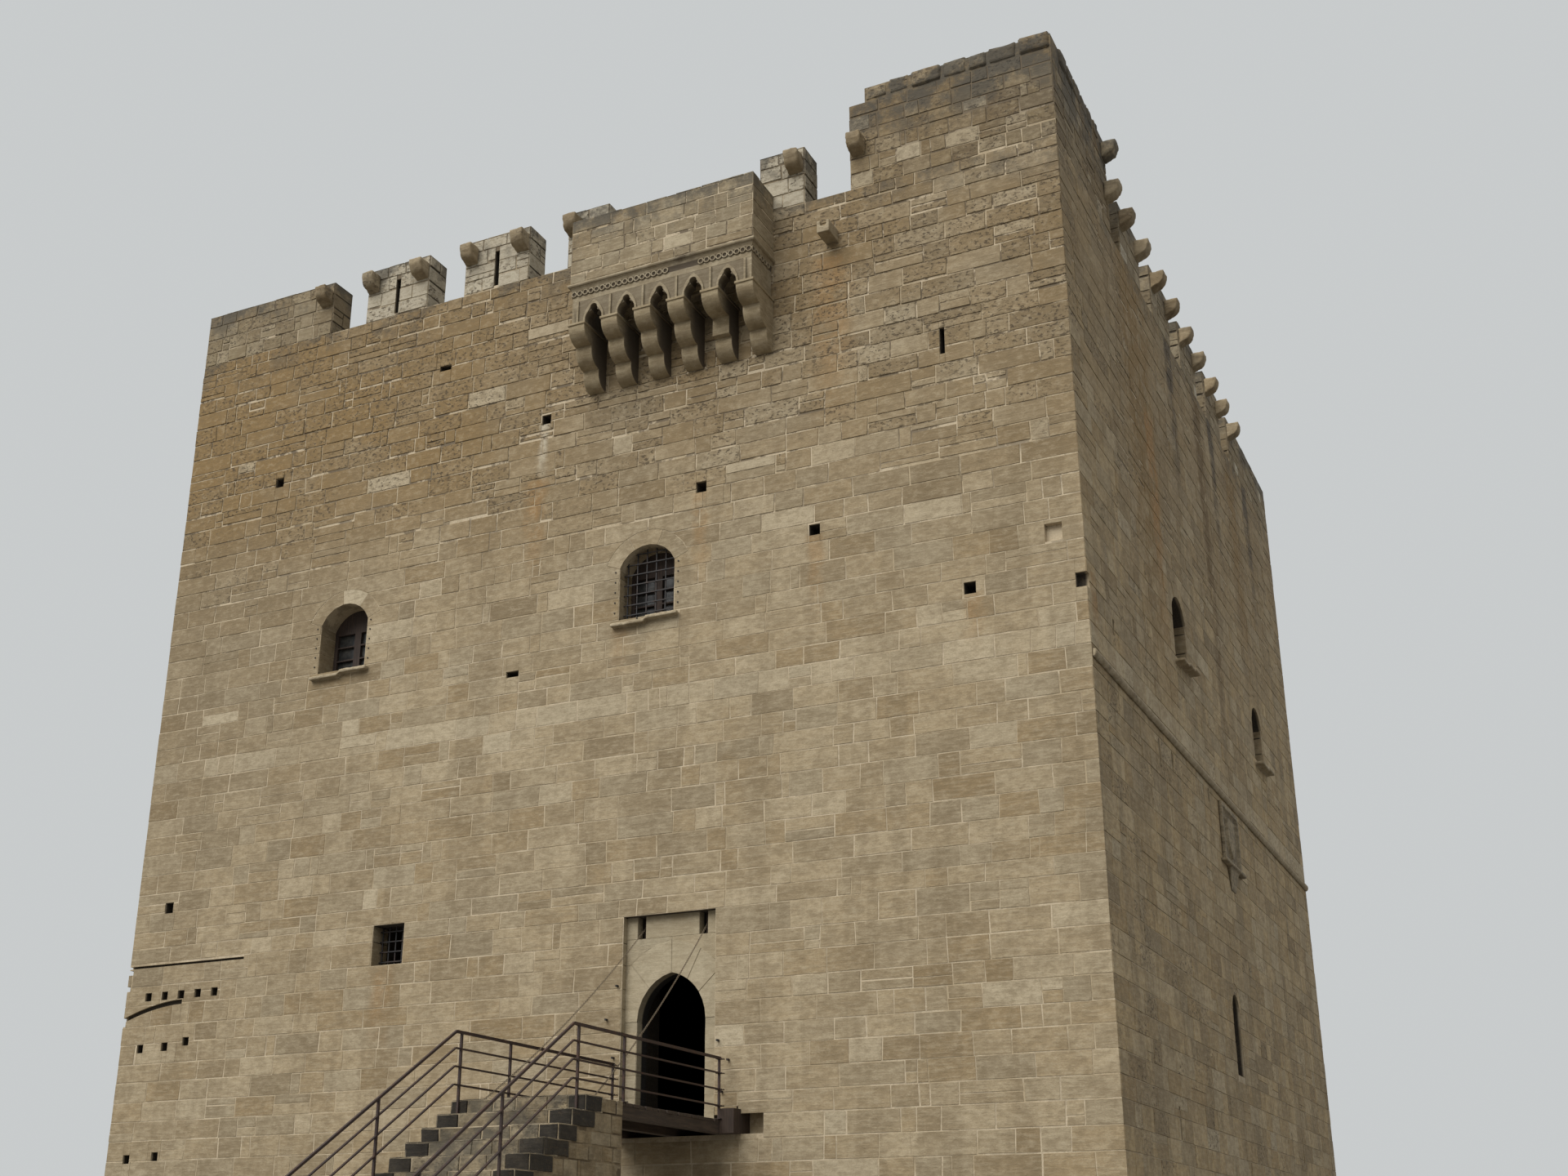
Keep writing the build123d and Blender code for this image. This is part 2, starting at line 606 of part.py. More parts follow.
# Machicolation corbels: three quarter-round rolls that step out one over the other,
# each corbel under a flat cap; the middle roll of the fifth is broken
CORBEL_TOP = TERRACE - CORBEL_DROP
CORBEL_FOOT = CORBEL_TOP - ROLL_COUNT * ROLL_HEIGHT
ROLL_REACH = BOX_REACH / ROLL_COUNT
CORBEL_PLANES = [
    Plane.YZ.offset(DOOR_X + (i - (CORBEL_COUNT - 1) / 2) * CORBEL_PITCH)
    for i in range(CORBEL_COUNT)
]
with BuildPart() as machicolation_corbels:
    with BuildSketch(*CORBEL_PLANES):
        with BuildLine():
            for i in range(ROLL_COUNT):
                foot = (-HALF - i * ROLL_REACH, CORBEL_FOOT + i * ROLL_HEIGHT)
                nose = (foot[0] - ROLL_REACH, foot[1] + ROLL_REACH)
                RadiusArc(foot, nose, ROLL_REACH)
                Line(nose, (nose[0], foot[1] + ROLL_HEIGHT))
            Polyline((-HALF - BOX_REACH, CORBEL_TOP), (-HALF, CORBEL_TOP), (-HALF, CORBEL_FOOT))
        make_face()
    extrude(amount=CORBEL_WIDTH / 2, both=True)
    with BuildSketch(Plane.XY.offset(CORBEL_TOP)):
        with Locations((DOOR_X, -HALF)):
            with GridLocations(CORBEL_PITCH, 0, CORBEL_COUNT, 1):
                Rectangle(CORBEL_WIDTH + 2 * CAP_REACH, BOX_REACH + CAP_REACH, align=HEAD)
    extrude(amount=-CAP_HEIGHT)
    with BuildSketch(Plane.YZ.offset(DOOR_X + BREAK_OFFSET)):
        with Locations((-HALF - 2 * ROLL_REACH, CORBEL_FOOT + ROLL_HEIGHT)):
            Rectangle(BREAK_DEPTH, ROLL_HEIGHT, align=LEFT_BASE)
    extrude(amount=CORBEL_WIDTH / 2, both=True, mode=Mode.SUBTRACT)

# Keyhole of one arch, and the pointed moulding round it, from the middle of the foot
ARCH_SPAN = CORBEL_PITCH - CORBEL_WIDTH
with BuildSketch() as keyhole:
    Rectangle(ARCH_SPAN, ARCH_FOOT, align=BASE)
    with Locations((0, ARCH_FOOT)):
        Circle(ARCH_SPAN / 2)
    with Locations((0, ARCH_FOOT + ARCH_SPAN / 2 + ARCH_EYE / 2)):
        Circle(ARCH_EYE)

RIB_SPAN = ARCH_SPAN + 2 * RIB_WIDTH
RIB_RADIUS = (RIB_RISE**2 + RIB_SPAN**2 / 4) / RIB_SPAN
with BuildSketch() as pointed_rib:
    with BuildLine():
        RadiusArc((RIB_SPAN / 2, 0), (0, RIB_RISE), -RIB_RADIUS)
        RadiusArc((0, RIB_RISE), (-RIB_SPAN / 2, 0), -RIB_RADIUS)
        Line((-RIB_SPAN / 2, 0), (RIB_SPAN / 2, 0))
    make_face()
    with BuildLine():
        RadiusArc((ARCH_SPAN / 2, 0), (0, RIB_RISE - 2 * RIB_WIDTH), -RIB_RADIUS)
        RadiusArc((0, RIB_RISE - 2 * RIB_WIDTH), (-ARCH_SPAN / 2, 0), -RIB_RADIUS)
        Line((-ARCH_SPAN / 2, 0), (ARCH_SPAN / 2, 0))
    make_face(mode=Mode.SUBTRACT)

# Arcade: keyholes, pointed mouldings and pilaster strips on a band that returns
# to the wall at both ends
with BuildPart() as machicolation_arches:
    with BuildSketch(Plane.XY.offset(CORBEL_TOP)):
        with Locations((DOOR_X, -HALF)):
            Rectangle(BOX_WIDTH - 2 * ARCADE_SETBACK, BOX_REACH - ARCADE_SETBACK, align=HEAD)
            Rectangle(BOX_INSIDE, BOX_REACH - BOX_WALL, align=HEAD, mode=Mode.SUBTRACT)
    extrude(amount=ARCH_BAND)
    with BuildSketch(FRONT.offset(BOX_REACH - ARCADE_SETBACK)):
        with Locations((DOOR_X, CORBEL_TOP)):
            with GridLocations(CORBEL_PITCH, 0, CORBEL_COUNT - 1, 1):
                add(pointed_rib.sketch)
            with GridLocations(CORBEL_PITCH, 0, CORBEL_COUNT, 1):
                Rectangle(RIB_WIDTH, ARCH_BAND, align=BASE)
    extrude(amount=RIB)
    with BuildSketch(FRONT.offset(BOX_REACH)):
        with Locations((DOOR_X, CORBEL_TOP)):
            with GridLocations(CORBEL_PITCH, 0, CORBEL_COUNT - 1, 1):
                add(keyhole.sketch)
    extrude(amount=-BOX_WALL, mode=Mode.SUBTRACT)

# Cornice: a hollow under a roll, one profile swept round the three sides of the box
ARCH_BAND_TOP = CORBEL_TOP + ARCH_BAND
CORNICE_TOP = ARCH_BAND_TOP + CORNICE
box_left = DOOR_X - BOX_WIDTH / 2
box_right = DOOR_X + BOX_WIDTH / 2
with BuildPart() as machicolation_cornice:
    with BuildLine() as cornice_path:
        Polyline(
            (box_left, -HALF, ARCH_BAND_TOP),
            (box_left, -HALF - BOX_REACH, ARCH_BAND_TOP),
            (box_right, -HALF - BOX_REACH, ARCH_BAND_TOP),
            (box_right, -HALF, ARCH_BAND_TOP),
        )
    with BuildSketch(Plane(origin=cornice_path.line @ 0, x_dir=(-1, 0, 0), z_dir=(0, 1, 0))):
        with BuildLine():
            ThreePointArc(
                (0, CORNICE - 2 * CORNICE_ROLL),
                (CORNICE_ROLL, CORNICE - CORNICE_ROLL),
                (0, CORNICE),
            )
            Polyline(
                (0, CORNICE),
                (-BOX_WALL, CORNICE),
                (-BOX_WALL, 0),
                (-ARCADE_SETBACK, 0),
                (-ARCADE_SETBACK, CORNICE_BAND),
            )
            RadiusArc(
                (-ARCADE_SETBACK, CORNICE_BAND),
                (0, CORNICE - 2 * CORNICE_ROLL),
                CORNICE,
            )
        make_face()
    sweep(path=cornice_path.line, transition=Transition.RIGHT)

with BuildPart() as machicolation_parapet:
    with BuildSketch(Plane.XY.offset(CORNICE_TOP)):
        with Locations((DOOR_X, -HALF)):
            Rectangle(BOX_WIDTH, BOX_REACH, align=HEAD)
            Rectangle(BOX_INSIDE, BOX_REACH - BOX_WALL, align=HEAD, mode=Mode.SUBTRACT)
    extrude(amount=BOX_HEIGHT)

# Windows of the upper storey: moulded sill stone, timber casement and glass
window_places = {FRONT: FRONT_WINDOWS, EAST: SIDE_WINDOWS, BACK: FRONT_WINDOWS, WEST: SIDE_WINDOWS}
with BuildPart() as window_sills:
    for side, places in window_places.items():
        with BuildSketch(side):
            with Locations(*[(place, SILL_BED) for place in places]):
                Rectangle(WINDOW_WIDTH, SILL_HEIGHT, align=BASE)
        extrude(amount=-WINDOW_REVEAL - CASEMENT_DEPTH - GLASS)
        nose = SIDE_SILL_NOSE if side in (EAST, WEST) else SILL_NOSE
        for place in places:
            foot = side.from_local_coords(Vector(place, SILL_BED, 0))
            with BuildSketch(Plane(origin=foot, x_dir=side.z_dir, z_dir=-side.x_dir)):
                with BuildLine():
                    Polyline(
                        (nose, SILL_HEIGHT - SILL_FILLET),
                        (nose, SILL_HEIGHT),
                        (0, SILL_HEIGHT),
                        (0, 0),
                    )
                    RadiusArc((0, 0), (nose, SILL_HEIGHT - SILL_FILLET), 2 * nose)
                make_face()
            extrude(amount=WINDOW_WIDTH / 2 + SILL_OVERHANG, both=True)

# Two leaves of three panes each under a boarded head
PANE_WIDTH = (WINDOW_WIDTH - 4 * CASEMENT_BAR) / 2
LEAF_HEIGHT = WINDOW_JAMB - SILL_HEIGHT - 2 * CASEMENT_BAR
PANE_HEIGHT = (LEAF_HEIGHT - 2 * GLAZING_BAR) / 3
with BuildSketch() as casement_shape:
    add(window_shape.sketch)
    Rectangle(WINDOW_WIDTH, SILL_HEIGHT, align=BASE, mode=Mode.SUBTRACT)
    with Locations((0, SILL_HEIGHT + CASEMENT_BAR + LEAF_HEIGHT / 2)):
        with GridLocations(PANE_WIDTH + 2 * CASEMENT_BAR, PANE_HEIGHT + GLAZING_BAR, 2, 3):
            Rectangle(PANE_WIDTH, PANE_HEIGHT, mode=Mode.SUBTRACT)

with BuildPart() as window_casements:
    for side, places in window_places.items():
        with BuildSketch(side.offset(-WINDOW_REVEAL)):
            with Locations(*[(place, SILL_BED) for place in places]):
                add(casement_shape.sketch)
        extrude(amount=-CASEMENT_DEPTH)

with BuildPart() as window_glass:
    for side, places in window_places.items():
        with BuildSketch(side.offset(-WINDOW_REVEAL - CASEMENT_DEPTH)):
            with Locations(*[(place, SILL_BED + SILL_HEIGHT) for place in places]):
                Rectangle(WINDOW_WIDTH, LEAF_HEIGHT + 2 * CASEMENT_BAR, align=BASE)
        extrude(amount=-GLASS)

# String course on the east wall: a drip moulding with a sloped underside
STRING_LEVEL = SILL_BED - STRING_DROP
with BuildPart() as string_course:
    with BuildSketch(Plane.XZ.offset(HALF)):
        with BuildLine():
            Polyline(
                (HALF, STRING_LEVEL),
                (HALF + STRING_REACH, STRING_LEVEL + STRING_HEIGHT / 2),
                (HALF + STRING_REACH, STRING_LEVEL + STRING_HEIGHT),
                (HALF, STRING_LEVEL + STRING_HEIGHT),
                close=True,
            )
        make_face()
    extrude(amount=-WIDTH)

# Armorial panel below the string course: border, plain shield, ledge and bracket
ARMS_TOP = STRING_LEVEL - ARMS_GAP
ARMS_BOTTOM = ARMS_TOP - ARMS_HEIGHT
SHIELD_SHOULDER = SHIELD_HEIGHT / 2
with BuildSketch() as shield_shape:
    with BuildLine():
        Polyline(
            (SHIELD_WIDTH / 2, SHIELD_SHOULDER),
            (SHIELD_WIDTH / 2, SHIELD_HEIGHT),
            (-SHIELD_WIDTH / 2, SHIELD_HEIGHT),
            (-SHIELD_WIDTH / 2, SHIELD_SHOULDER),
        )
        RadiusArc((-SHIELD_WIDTH / 2, SHIELD_SHOULDER), (0, 0), -SHIELD_WIDTH)
        RadiusArc((0, 0), (SHIELD_WIDTH / 2, SHIELD_SHOULDER), -SHIELD_WIDTH)
    make_face()

with BuildPart() as armorial_panel:
    with BuildSketch(EAST):
        with Locations((ARMS_Y, ARMS_BOTTOM)):
            Rectangle(ARMS_WIDTH, ARMS_HEIGHT, align=BASE)
    extrude(amount=ARMS_REACH)
    with BuildSketch(EAST.offset(ARMS_REACH)):
        with Locations((ARMS_Y, ARMS_BOTTOM)):
            Rectangle(ARMS_WIDTH - 2 * ARMS_BORDER, ARMS_HEIGHT - ARMS_BORDER, align=BASE)
    extrude(amount=ARMS_BACK - ARMS_REACH, mode=Mode.SUBTRACT)
    with BuildSketch(EAST.offset(ARMS_BACK)):
        with Locations((ARMS_Y, ARMS_BOTTOM + (ARMS_HEIGHT - ARMS_BORDER - SHIELD_HEIGHT) / 2)):
            add(shield_shape.sketch)
    extrude(amount=ARMS_REACH - ARMS_BACK)
    with BuildSketch(EAST):
        with Locations((ARMS_Y, ARMS_BOTTOM)):
            Rectangle(LEDGE_WIDTH, LEDGE_HEIGHT, align=HEAD)
    extrude(amount=LEDGE_REACH)
    with BuildSketch(Plane.XY.offset(ARMS_BOTTOM - LEDGE_HEIGHT)):
        with Locations((HALF, ARMS_Y)):
            Rectangle(ARMS_REACH, BRACKET_WIDTH, align=(Align.MIN, Align.CENTER))
    with BuildSketch(Plane.XY.offset(ARMS_BOTTOM - LEDGE_HEIGHT - BRACKET_HEIGHT)):
        with Locations((HALF, ARMS_Y)):
            Rectangle(ARMS_BACK, BRACKET_WIDTH / 2, align=(Align.MIN, Align.CENTER))
    loft()

# Water spout: a stone channel that carries rain from the terrace
with BuildPart() as water_spout:
    with BuildSketch(FRONT):
        with Locations((SPOUT_X, TERRACE)):
            Rectangle(SPOUT_SIZE, SPOUT_SIZE)
        with Locations((SPOUT_X, TERRACE + SPOUT_SIZE / 2)):
            Rectangle(SPOUT_CHANNEL, 2 * SPOUT_CHANNEL, mode=Mode.SUBTRACT)
    extrude(amount=SPOUT_REACH)

# Stair: a stepped masonry core, step stones laid on it, and a pier for the bridge
STAIR_X = DOOR_X + STAIR_OFFSET
DECK_WIDTH = PANEL_WIDTH + 2 * STAIR_OFFSET
STAIR_WIDTH = DECK_WIDTH + 2 * STAIR_MARGIN
PIER_BACK = HALF + BRIDGE_SPAN
STAIR_HEAD = PIER_BACK + PIER_BEARING + LANDING
stair_profile = [(-PIER_BACK, 0), (-PIER_BACK, BRIDGE_SEAT)]
for i in range(STEP_COUNT, 1, -1):
    riser = -STAIR_HEAD - (STEP_COUNT - i) * TREAD
    stair_profile.append((riser, (i - 1) * STEP_RISE))
    stair_profile.append((riser, (i - 2) * STEP_RISE))
with BuildPart() as stair_core:
    with BuildSketch(Plane.YZ.offset(STAIR_X)):
        with BuildLine():
            Polyline(*stair_profile, close=True)
        make_face()
    extrude(amount=STAIR_WIDTH / 2, both=True)

with BuildPart() as stair_steps:
    with BuildSketch(Plane.YZ.offset(STAIR_X)):
        for i in range(1, STEP_COUNT):
            with Locations((-STAIR_HEAD - (STEP_COUNT - i) * TREAD, (i - 1) * STEP_RISE)):
                Rectangle(TREAD - JOINT, STEP_RISE, align=LEFT_BASE)
        with Locations((-STAIR_HEAD, BRIDGE_SEAT)):
            Rectangle(LANDING, STEP_RISE, align=LEFT_BASE)
    extrude(amount=STAIR_WIDTH / 2, both=True)

# Timber bridge: beams from the pier to the seat in the wall, and a deck
BRIDGE_START = STAIR_HEAD - LANDING - JOINT
BRIDGE_END = HALF - SEAT_DEPTH
BEAM_SPACING = (DECK_WIDTH - BEAM_WIDTH) / 2
with BuildPart() as bridge_beams:
    with BuildSketch(Plane.XY.offset(BRIDGE_SEAT)):
        with Locations((STAIR_X, -BRIDGE_END)):
            with GridLocations(BEAM_SPACING, 0, 3, 1):
                Rectangle(BEAM_WIDTH, BRIDGE_START - BRIDGE_END, align=HEAD)
    extrude(amount=STEP_RISE - DECK_THICKNESS)

with BuildPart() as bridge_deck:
    with BuildSketch(Plane.XY.offset(DOOR_FLOOR - DECK_THICKNESS)):
        with Locations((STAIR_X, -BRIDGE_END)):
            Rectangle(DECK_WIDTH, BRIDGE_START - BRIDGE_END, align=HEAD)
    extrude(amount=DECK_THICKNESS)

with BuildPart() as bridge_post_stub:
    with BuildSketch(Plane.XY.offset(BRIDGE_SEAT)):
        with Locations((STAIR_X + DECK_WIDTH / 2 + JOINT, -BRIDGE_END)):
            Rectangle(STUB_WIDTH, SEAT_DEPTH + STUB_REACH, align=(Align.MIN, Align.MAX))
    extrude(amount=STUB_HEIGHT)

# Handrails: level over the bridge, then down beside the stair
RAIL_TOP = DOOR_FLOOR + RAIL_HEIGHT
RAIL_END = HALF + RAIL_CLEARANCE
RAIL_TURN = STAIR_HEAD + RAIL_LEAD
RAIL_PLANES = (
    Plane.YZ.offset(STAIR_X - (DECK_WIDTH - POST) / 2),
    Plane.YZ.offset(STAIR_X + (DECK_WIDTH - POST) / 2),
)
rail_levels = [(RAIL_TOP - RAIL_TUBE / 2, RAIL_TUBE)]
rail_levels += [(RAIL_TOP - i * RAIL_SPACING, RAIL_BAR) for i in (1, 2, 3)]
with BuildPart() as bridge_handrails:
    with BuildSketch(*RAIL_PLANES):
        for level, bar in rail_levels:
            with Locations((-RAIL_TURN, level)):
                Rectangle(RAIL_TURN - RAIL_END, bar, align=(Align.MIN, Align.CENTER))
        for place in (RAIL_END + POST, STAIR_HEAD + POST - POST_SPACING):
            with Locations((-place, DOOR_FLOOR)):
                Rectangle(POST, RAIL_HEIGHT - RAIL_TUBE / 2, align=BASE)
        with Locations((-STAIR_HEAD - POST, BRIDGE_SEAT)):
            Rectangle(POST, STEP_RISE + RAIL_HEIGHT - RAIL_TUBE / 2, align=BASE)
    extrude(amount=POST / 2, both=True)

STAIR_SLOPE = STEP_RISE / TREAD
rail_foot = STAIR_HEAD + (STEP_COUNT - STAIR_POST_STEPS[-1] - 0.5) * TREAD + POST / 2
rail_fall = (rail_foot - RAIL_TURN) * STAIR_SLOPE
with BuildPart() as stair_handrails:
    with BuildSketch(*RAIL_PLANES):
        for level, bar in rail_levels:
            with BuildLine():
                Polyline(
                    (-RAIL_TURN, level - bar / 2),
                    (-RAIL_TURN, level + bar / 2),
                    (-rail_foot, level - rail_fall + bar / 2),
                    (-rail_foot, level - rail_fall - bar / 2),
                    close=True,
                )
            make_face()
        for step in STAIR_POST_STEPS:
            place = STAIR_HEAD + (STEP_COUNT - step - 0.5) * TREAD
            rail = RAIL_TOP - RAIL_TUBE / 2 - (place - RAIL_TURN) * STAIR_SLOPE
            with Locations((-place, step * STEP_RISE)):
                Rectangle(POST, rail - step * STEP_RISE, align=BASE)
    extrude(amount=POST / 2, both=True)

# Lifting chains between the arm stubs in the slots and eye bolts in the deck
STUB_FACE = HALF - PANEL_SETBACK - SLOT_DEPTH + ARM_LENGTH
SLOT_FLOOR = PANEL_TOP - SLOT_HEIGHT
EYE_X = DECK_WIDTH / 2 - POST - EYE_RADIUS
EYE_Y = BRIDGE_START - 2 * EYE_RADIUS
with BuildPart() as bridge_chains:
    with BuildSketch(Plane.XY.offset(DOOR_FLOOR)):
        with Locations((STAIR_X, -EYE_Y)):
            with GridLocations(2 * EYE_X, 0, 2, 1):
                RegularPolygon(EYE_RADIUS, 6)
    extrude(amount=EYE_HEIGHT)
    for hand in (-1, 1):
        top = Vector(DOOR_X + hand * SLOT_PITCH / 2, -STUB_FACE, SLOT_FLOOR + CHAIN_RISE)
        foot = Vector(STAIR_X + hand * EYE_X, -EYE_Y, DOOR_FLOOR + EYE_HEIGHT / 2)
        middle = (top + foot) / 2 - Vector(0, 0, CHAIN_SAG)
        with BuildLine() as route:
            ThreePointArc(top, middle, foot)
        with BuildSketch(Plane(origin=top, x_dir=(1, 0, 0), z_dir=(0, -1, 0))):
            RegularPolygon(CHAIN / 2, 4)
        sweep(path=route.line)

ground_floor.part.label = "ground_floor"
first_floor.part.label = "first_floor"
second_floor.part.label = "second_floor"
roof_terrace.part.label = "roof_terrace"
front_wall_left.part.label = "front_wall_left"
front_wall_right.part.label = "front_wall_right"
front_wall_below_door.part.label = "front_wall_below_door"
door_threshold.part.label = "door_threshold"
door_surround.part.label = "door_surround"
door_lintel.part.label = "door_lintel"
lifting_arm_stubs.part.label = "lifting_arm_stubs"
front_wall_middle.part.label = "front_wall_middle"
front_wall_upper.part.label = "front_wall_upper"
back_wall_lower.part.label = "back_wall_lower"
back_wall_upper.part.label = "back_wall_upper"
east_wall_lower.part.label = "east_wall_lower"
east_wall_upper.part.label = "east_wall_upper"
west_wall_lower.part.label = "west_wall_lower"
west_wall_upper.part.label = "west_wall_upper"
front_parapet.part.label = "front_parapet"
back_parapet.part.label = "back_parapet"
side_parapets.part.label = "side_parapets"
merlons.part.label = "merlons"
corner_merlons.part.label = "corner_merlons"
merlon_corbels.part.label = "merlon_corbels"
stair_turret.part.label = "stair_turret"
turret_roof.part.label = "turret_roof"
machicolation_corbels.part.label = "machicolation_corbels"
machicolation_arches.part.label = "machicolation_arches"
machicolation_cornice.part.label = "machicolation_cornice"
machicolation_parapet.part.label = "machicolation_parapet"
window_sills.part.label = "window_sills"
window_casements.part.label = "window_casements"
window_glass.part.label = "window_glass"
string_course.part.label = "string_course"
armorial_panel.part.label = "armorial_panel"
water_spout.part.label = "water_spout"
stair_core.part.label = "stair_core"
stair_steps.part.label = "stair_steps"
bridge_beams.part.label = "bridge_beams"
bridge_deck.part.label = "bridge_deck"
bridge_post_stub.part.label = "bridge_post_stub"
bridge_handrails.part.label = "bridge_handrails"
stair_handrails.part.label = "stair_handrails"
bridge_chains.part.label = "bridge_chains"

os.makedirs("parts", exist_ok=True)
for piece in (
    ground_floor,
    first_floor,
    second_floor,
    roof_terrace,
    front_wall_left,
    front_wall_right,
    front_wall_below_door,
    door_threshold,
    door_surround,
    door_lintel,
    lifting_arm_stubs,
    front_wall_middle,
    front_wall_upper,
    back_wall_lower,
    back_wall_upper,
    east_wall_lower,
    east_wall_upper,
    west_wall_lower,
    west_wall_upper,
    front_parapet,
    back_parapet,
    side_parapets,
    merlons,
    corner_merlons,
    merlon_corbels,
    stair_turret,
    turret_roof,
    machicolation_corbels,
    machicolation_arches,
    machicolation_cornice,
    machicolation_parapet,
    window_sills,
    window_casements,
    window_glass,
    string_course,
    armorial_panel,
    water_spout,
    stair_core,
    stair_steps,
    bridge_beams,
    bridge_deck,
    bridge_post_stub,
    bridge_handrails,
    stair_handrails,
    bridge_chains,
):
    export_step(piece.part, f"parts/{piece.part.label}.step")
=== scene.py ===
import math
import random
from collections import namedtuple

import bmesh
import bpy
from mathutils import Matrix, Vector


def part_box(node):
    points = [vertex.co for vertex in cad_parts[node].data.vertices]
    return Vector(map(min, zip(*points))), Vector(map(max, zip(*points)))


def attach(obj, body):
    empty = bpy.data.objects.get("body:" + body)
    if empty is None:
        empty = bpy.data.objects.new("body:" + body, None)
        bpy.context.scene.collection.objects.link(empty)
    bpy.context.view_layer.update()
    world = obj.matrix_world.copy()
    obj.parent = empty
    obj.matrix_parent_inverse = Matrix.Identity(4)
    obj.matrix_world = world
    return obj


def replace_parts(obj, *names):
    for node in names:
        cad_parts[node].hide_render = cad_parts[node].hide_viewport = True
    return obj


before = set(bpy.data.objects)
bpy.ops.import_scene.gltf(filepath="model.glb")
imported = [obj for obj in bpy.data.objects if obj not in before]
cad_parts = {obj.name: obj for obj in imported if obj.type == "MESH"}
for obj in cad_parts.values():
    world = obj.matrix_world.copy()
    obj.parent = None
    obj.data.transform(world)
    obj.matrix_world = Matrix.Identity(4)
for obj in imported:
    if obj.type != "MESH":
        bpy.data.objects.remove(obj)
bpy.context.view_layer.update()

# The front wall: courses of dressed limestone bedded in lime mortar. They are laid
# round the windows, the door panel and the sockets that held beams, and the damage
# of the old wall is cut into them.
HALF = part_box("front_wall_middle")[1].x
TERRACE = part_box("roof_terrace")[1].z
PARAPET_LOW, PARAPET_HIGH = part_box("front_parapet")
PARAPET, SILL = PARAPET_HIGH.y - PARAPET_LOW.y, PARAPET_HIGH.z
BOX_LOW, BOX_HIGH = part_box("machicolation_parapet")
PANEL_LOW, PANEL_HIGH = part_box("door_surround")

# Heights of the bed joints, as they run round the building
COURSES = [
    0.00, 0.35, 0.70, 1.04, 1.39, 1.73, 2.07, 2.42, 2.76, 3.11, 3.46, 3.80, 4.15, 4.48,
    4.82, 5.17, 5.49, 5.85, 6.17, 6.55, 6.90, 7.32, 7.60, 7.90, 8.25, 8.62, 8.98, 9.37,
    9.72, 10.05, 10.42, 10.78, 11.15, 11.47, 11.82, 12.17, 12.50, 12.90, 13.27, 13.62,
    13.95, 14.30, 14.66, 15.02, 15.35, 15.67, 16.03, 16.34, 16.68, 16.99, 17.33, 17.68,
    18.03, 18.38, 18.73, 19.02, 19.33, 19.63, 19.87, 20.17, 20.48, 20.80, 21.05, 21.36,
    21.63, 21.93,
]

Patch = namedtuple("Patch", "origin along up")


def point(patch, u, v, out=0.0):
    """A place on a flat patch: u along it, v up it, out along its outward normal."""
    return patch.origin + patch.along * u + patch.up * v + patch.along.cross(patch.up) * out


def flat(origin, along, up=(0, 0, 1)):
    return Patch(Vector(origin), Vector(along), Vector(up))


def south(y):
    return flat((0, y, 0), (1, 0, 0))


def courses(low, high, least=0.12):
    """Bed joints from low to high, without any thinner than least at the ends."""
    return [low] + [z for z in COURSES if low + least < z < high - least] + [high]


def shown(name, data):
    obj = bpy.data.objects.new(name, data)
    bpy.context.scene.collection.objects.link(obj)
    return obj


# Both kinds of tree, for materials and for geometry, are written in short form:
# a node is added together with what feeds it.
class Nodes:
    def __init__(self, tree):
        self.tree = tree

    def put(self, value, socket):
        if isinstance(value, bpy.types.NodeSocket):
            self.tree.links.new(value, socket)
        else:
            socket.default_value = value

    def add(self, kind, *values, settings=None, **named):
        node = self.tree.nodes.new(kind)
        for key, value in (settings or {}).items():
            setattr(node, key, value)
        for value, socket in zip(values, node.inputs):
            self.put(value, socket)
        for key, value in named.items():
            self.put(value, node.inputs[key.replace("_", " ")])
        return node.outputs

    def math(self, operation, *values, clamp=False):
        settings = {"operation": operation, "use_clamp": clamp}
        return self.add("ShaderNodeMath", *values, settings=settings)[0]

    def times(self, a, b, clamp=False):
        return self.math("MULTIPLY", a, b, clamp=clamp)

    def blend(self, value, scale, start):
        """value * scale + start"""
        return self.math("MULTIPLY_ADD", value, scale, start)

    def apart(self, a, b):
        return self.math("ABSOLUTE", self.math("SUBTRACT", a, b))


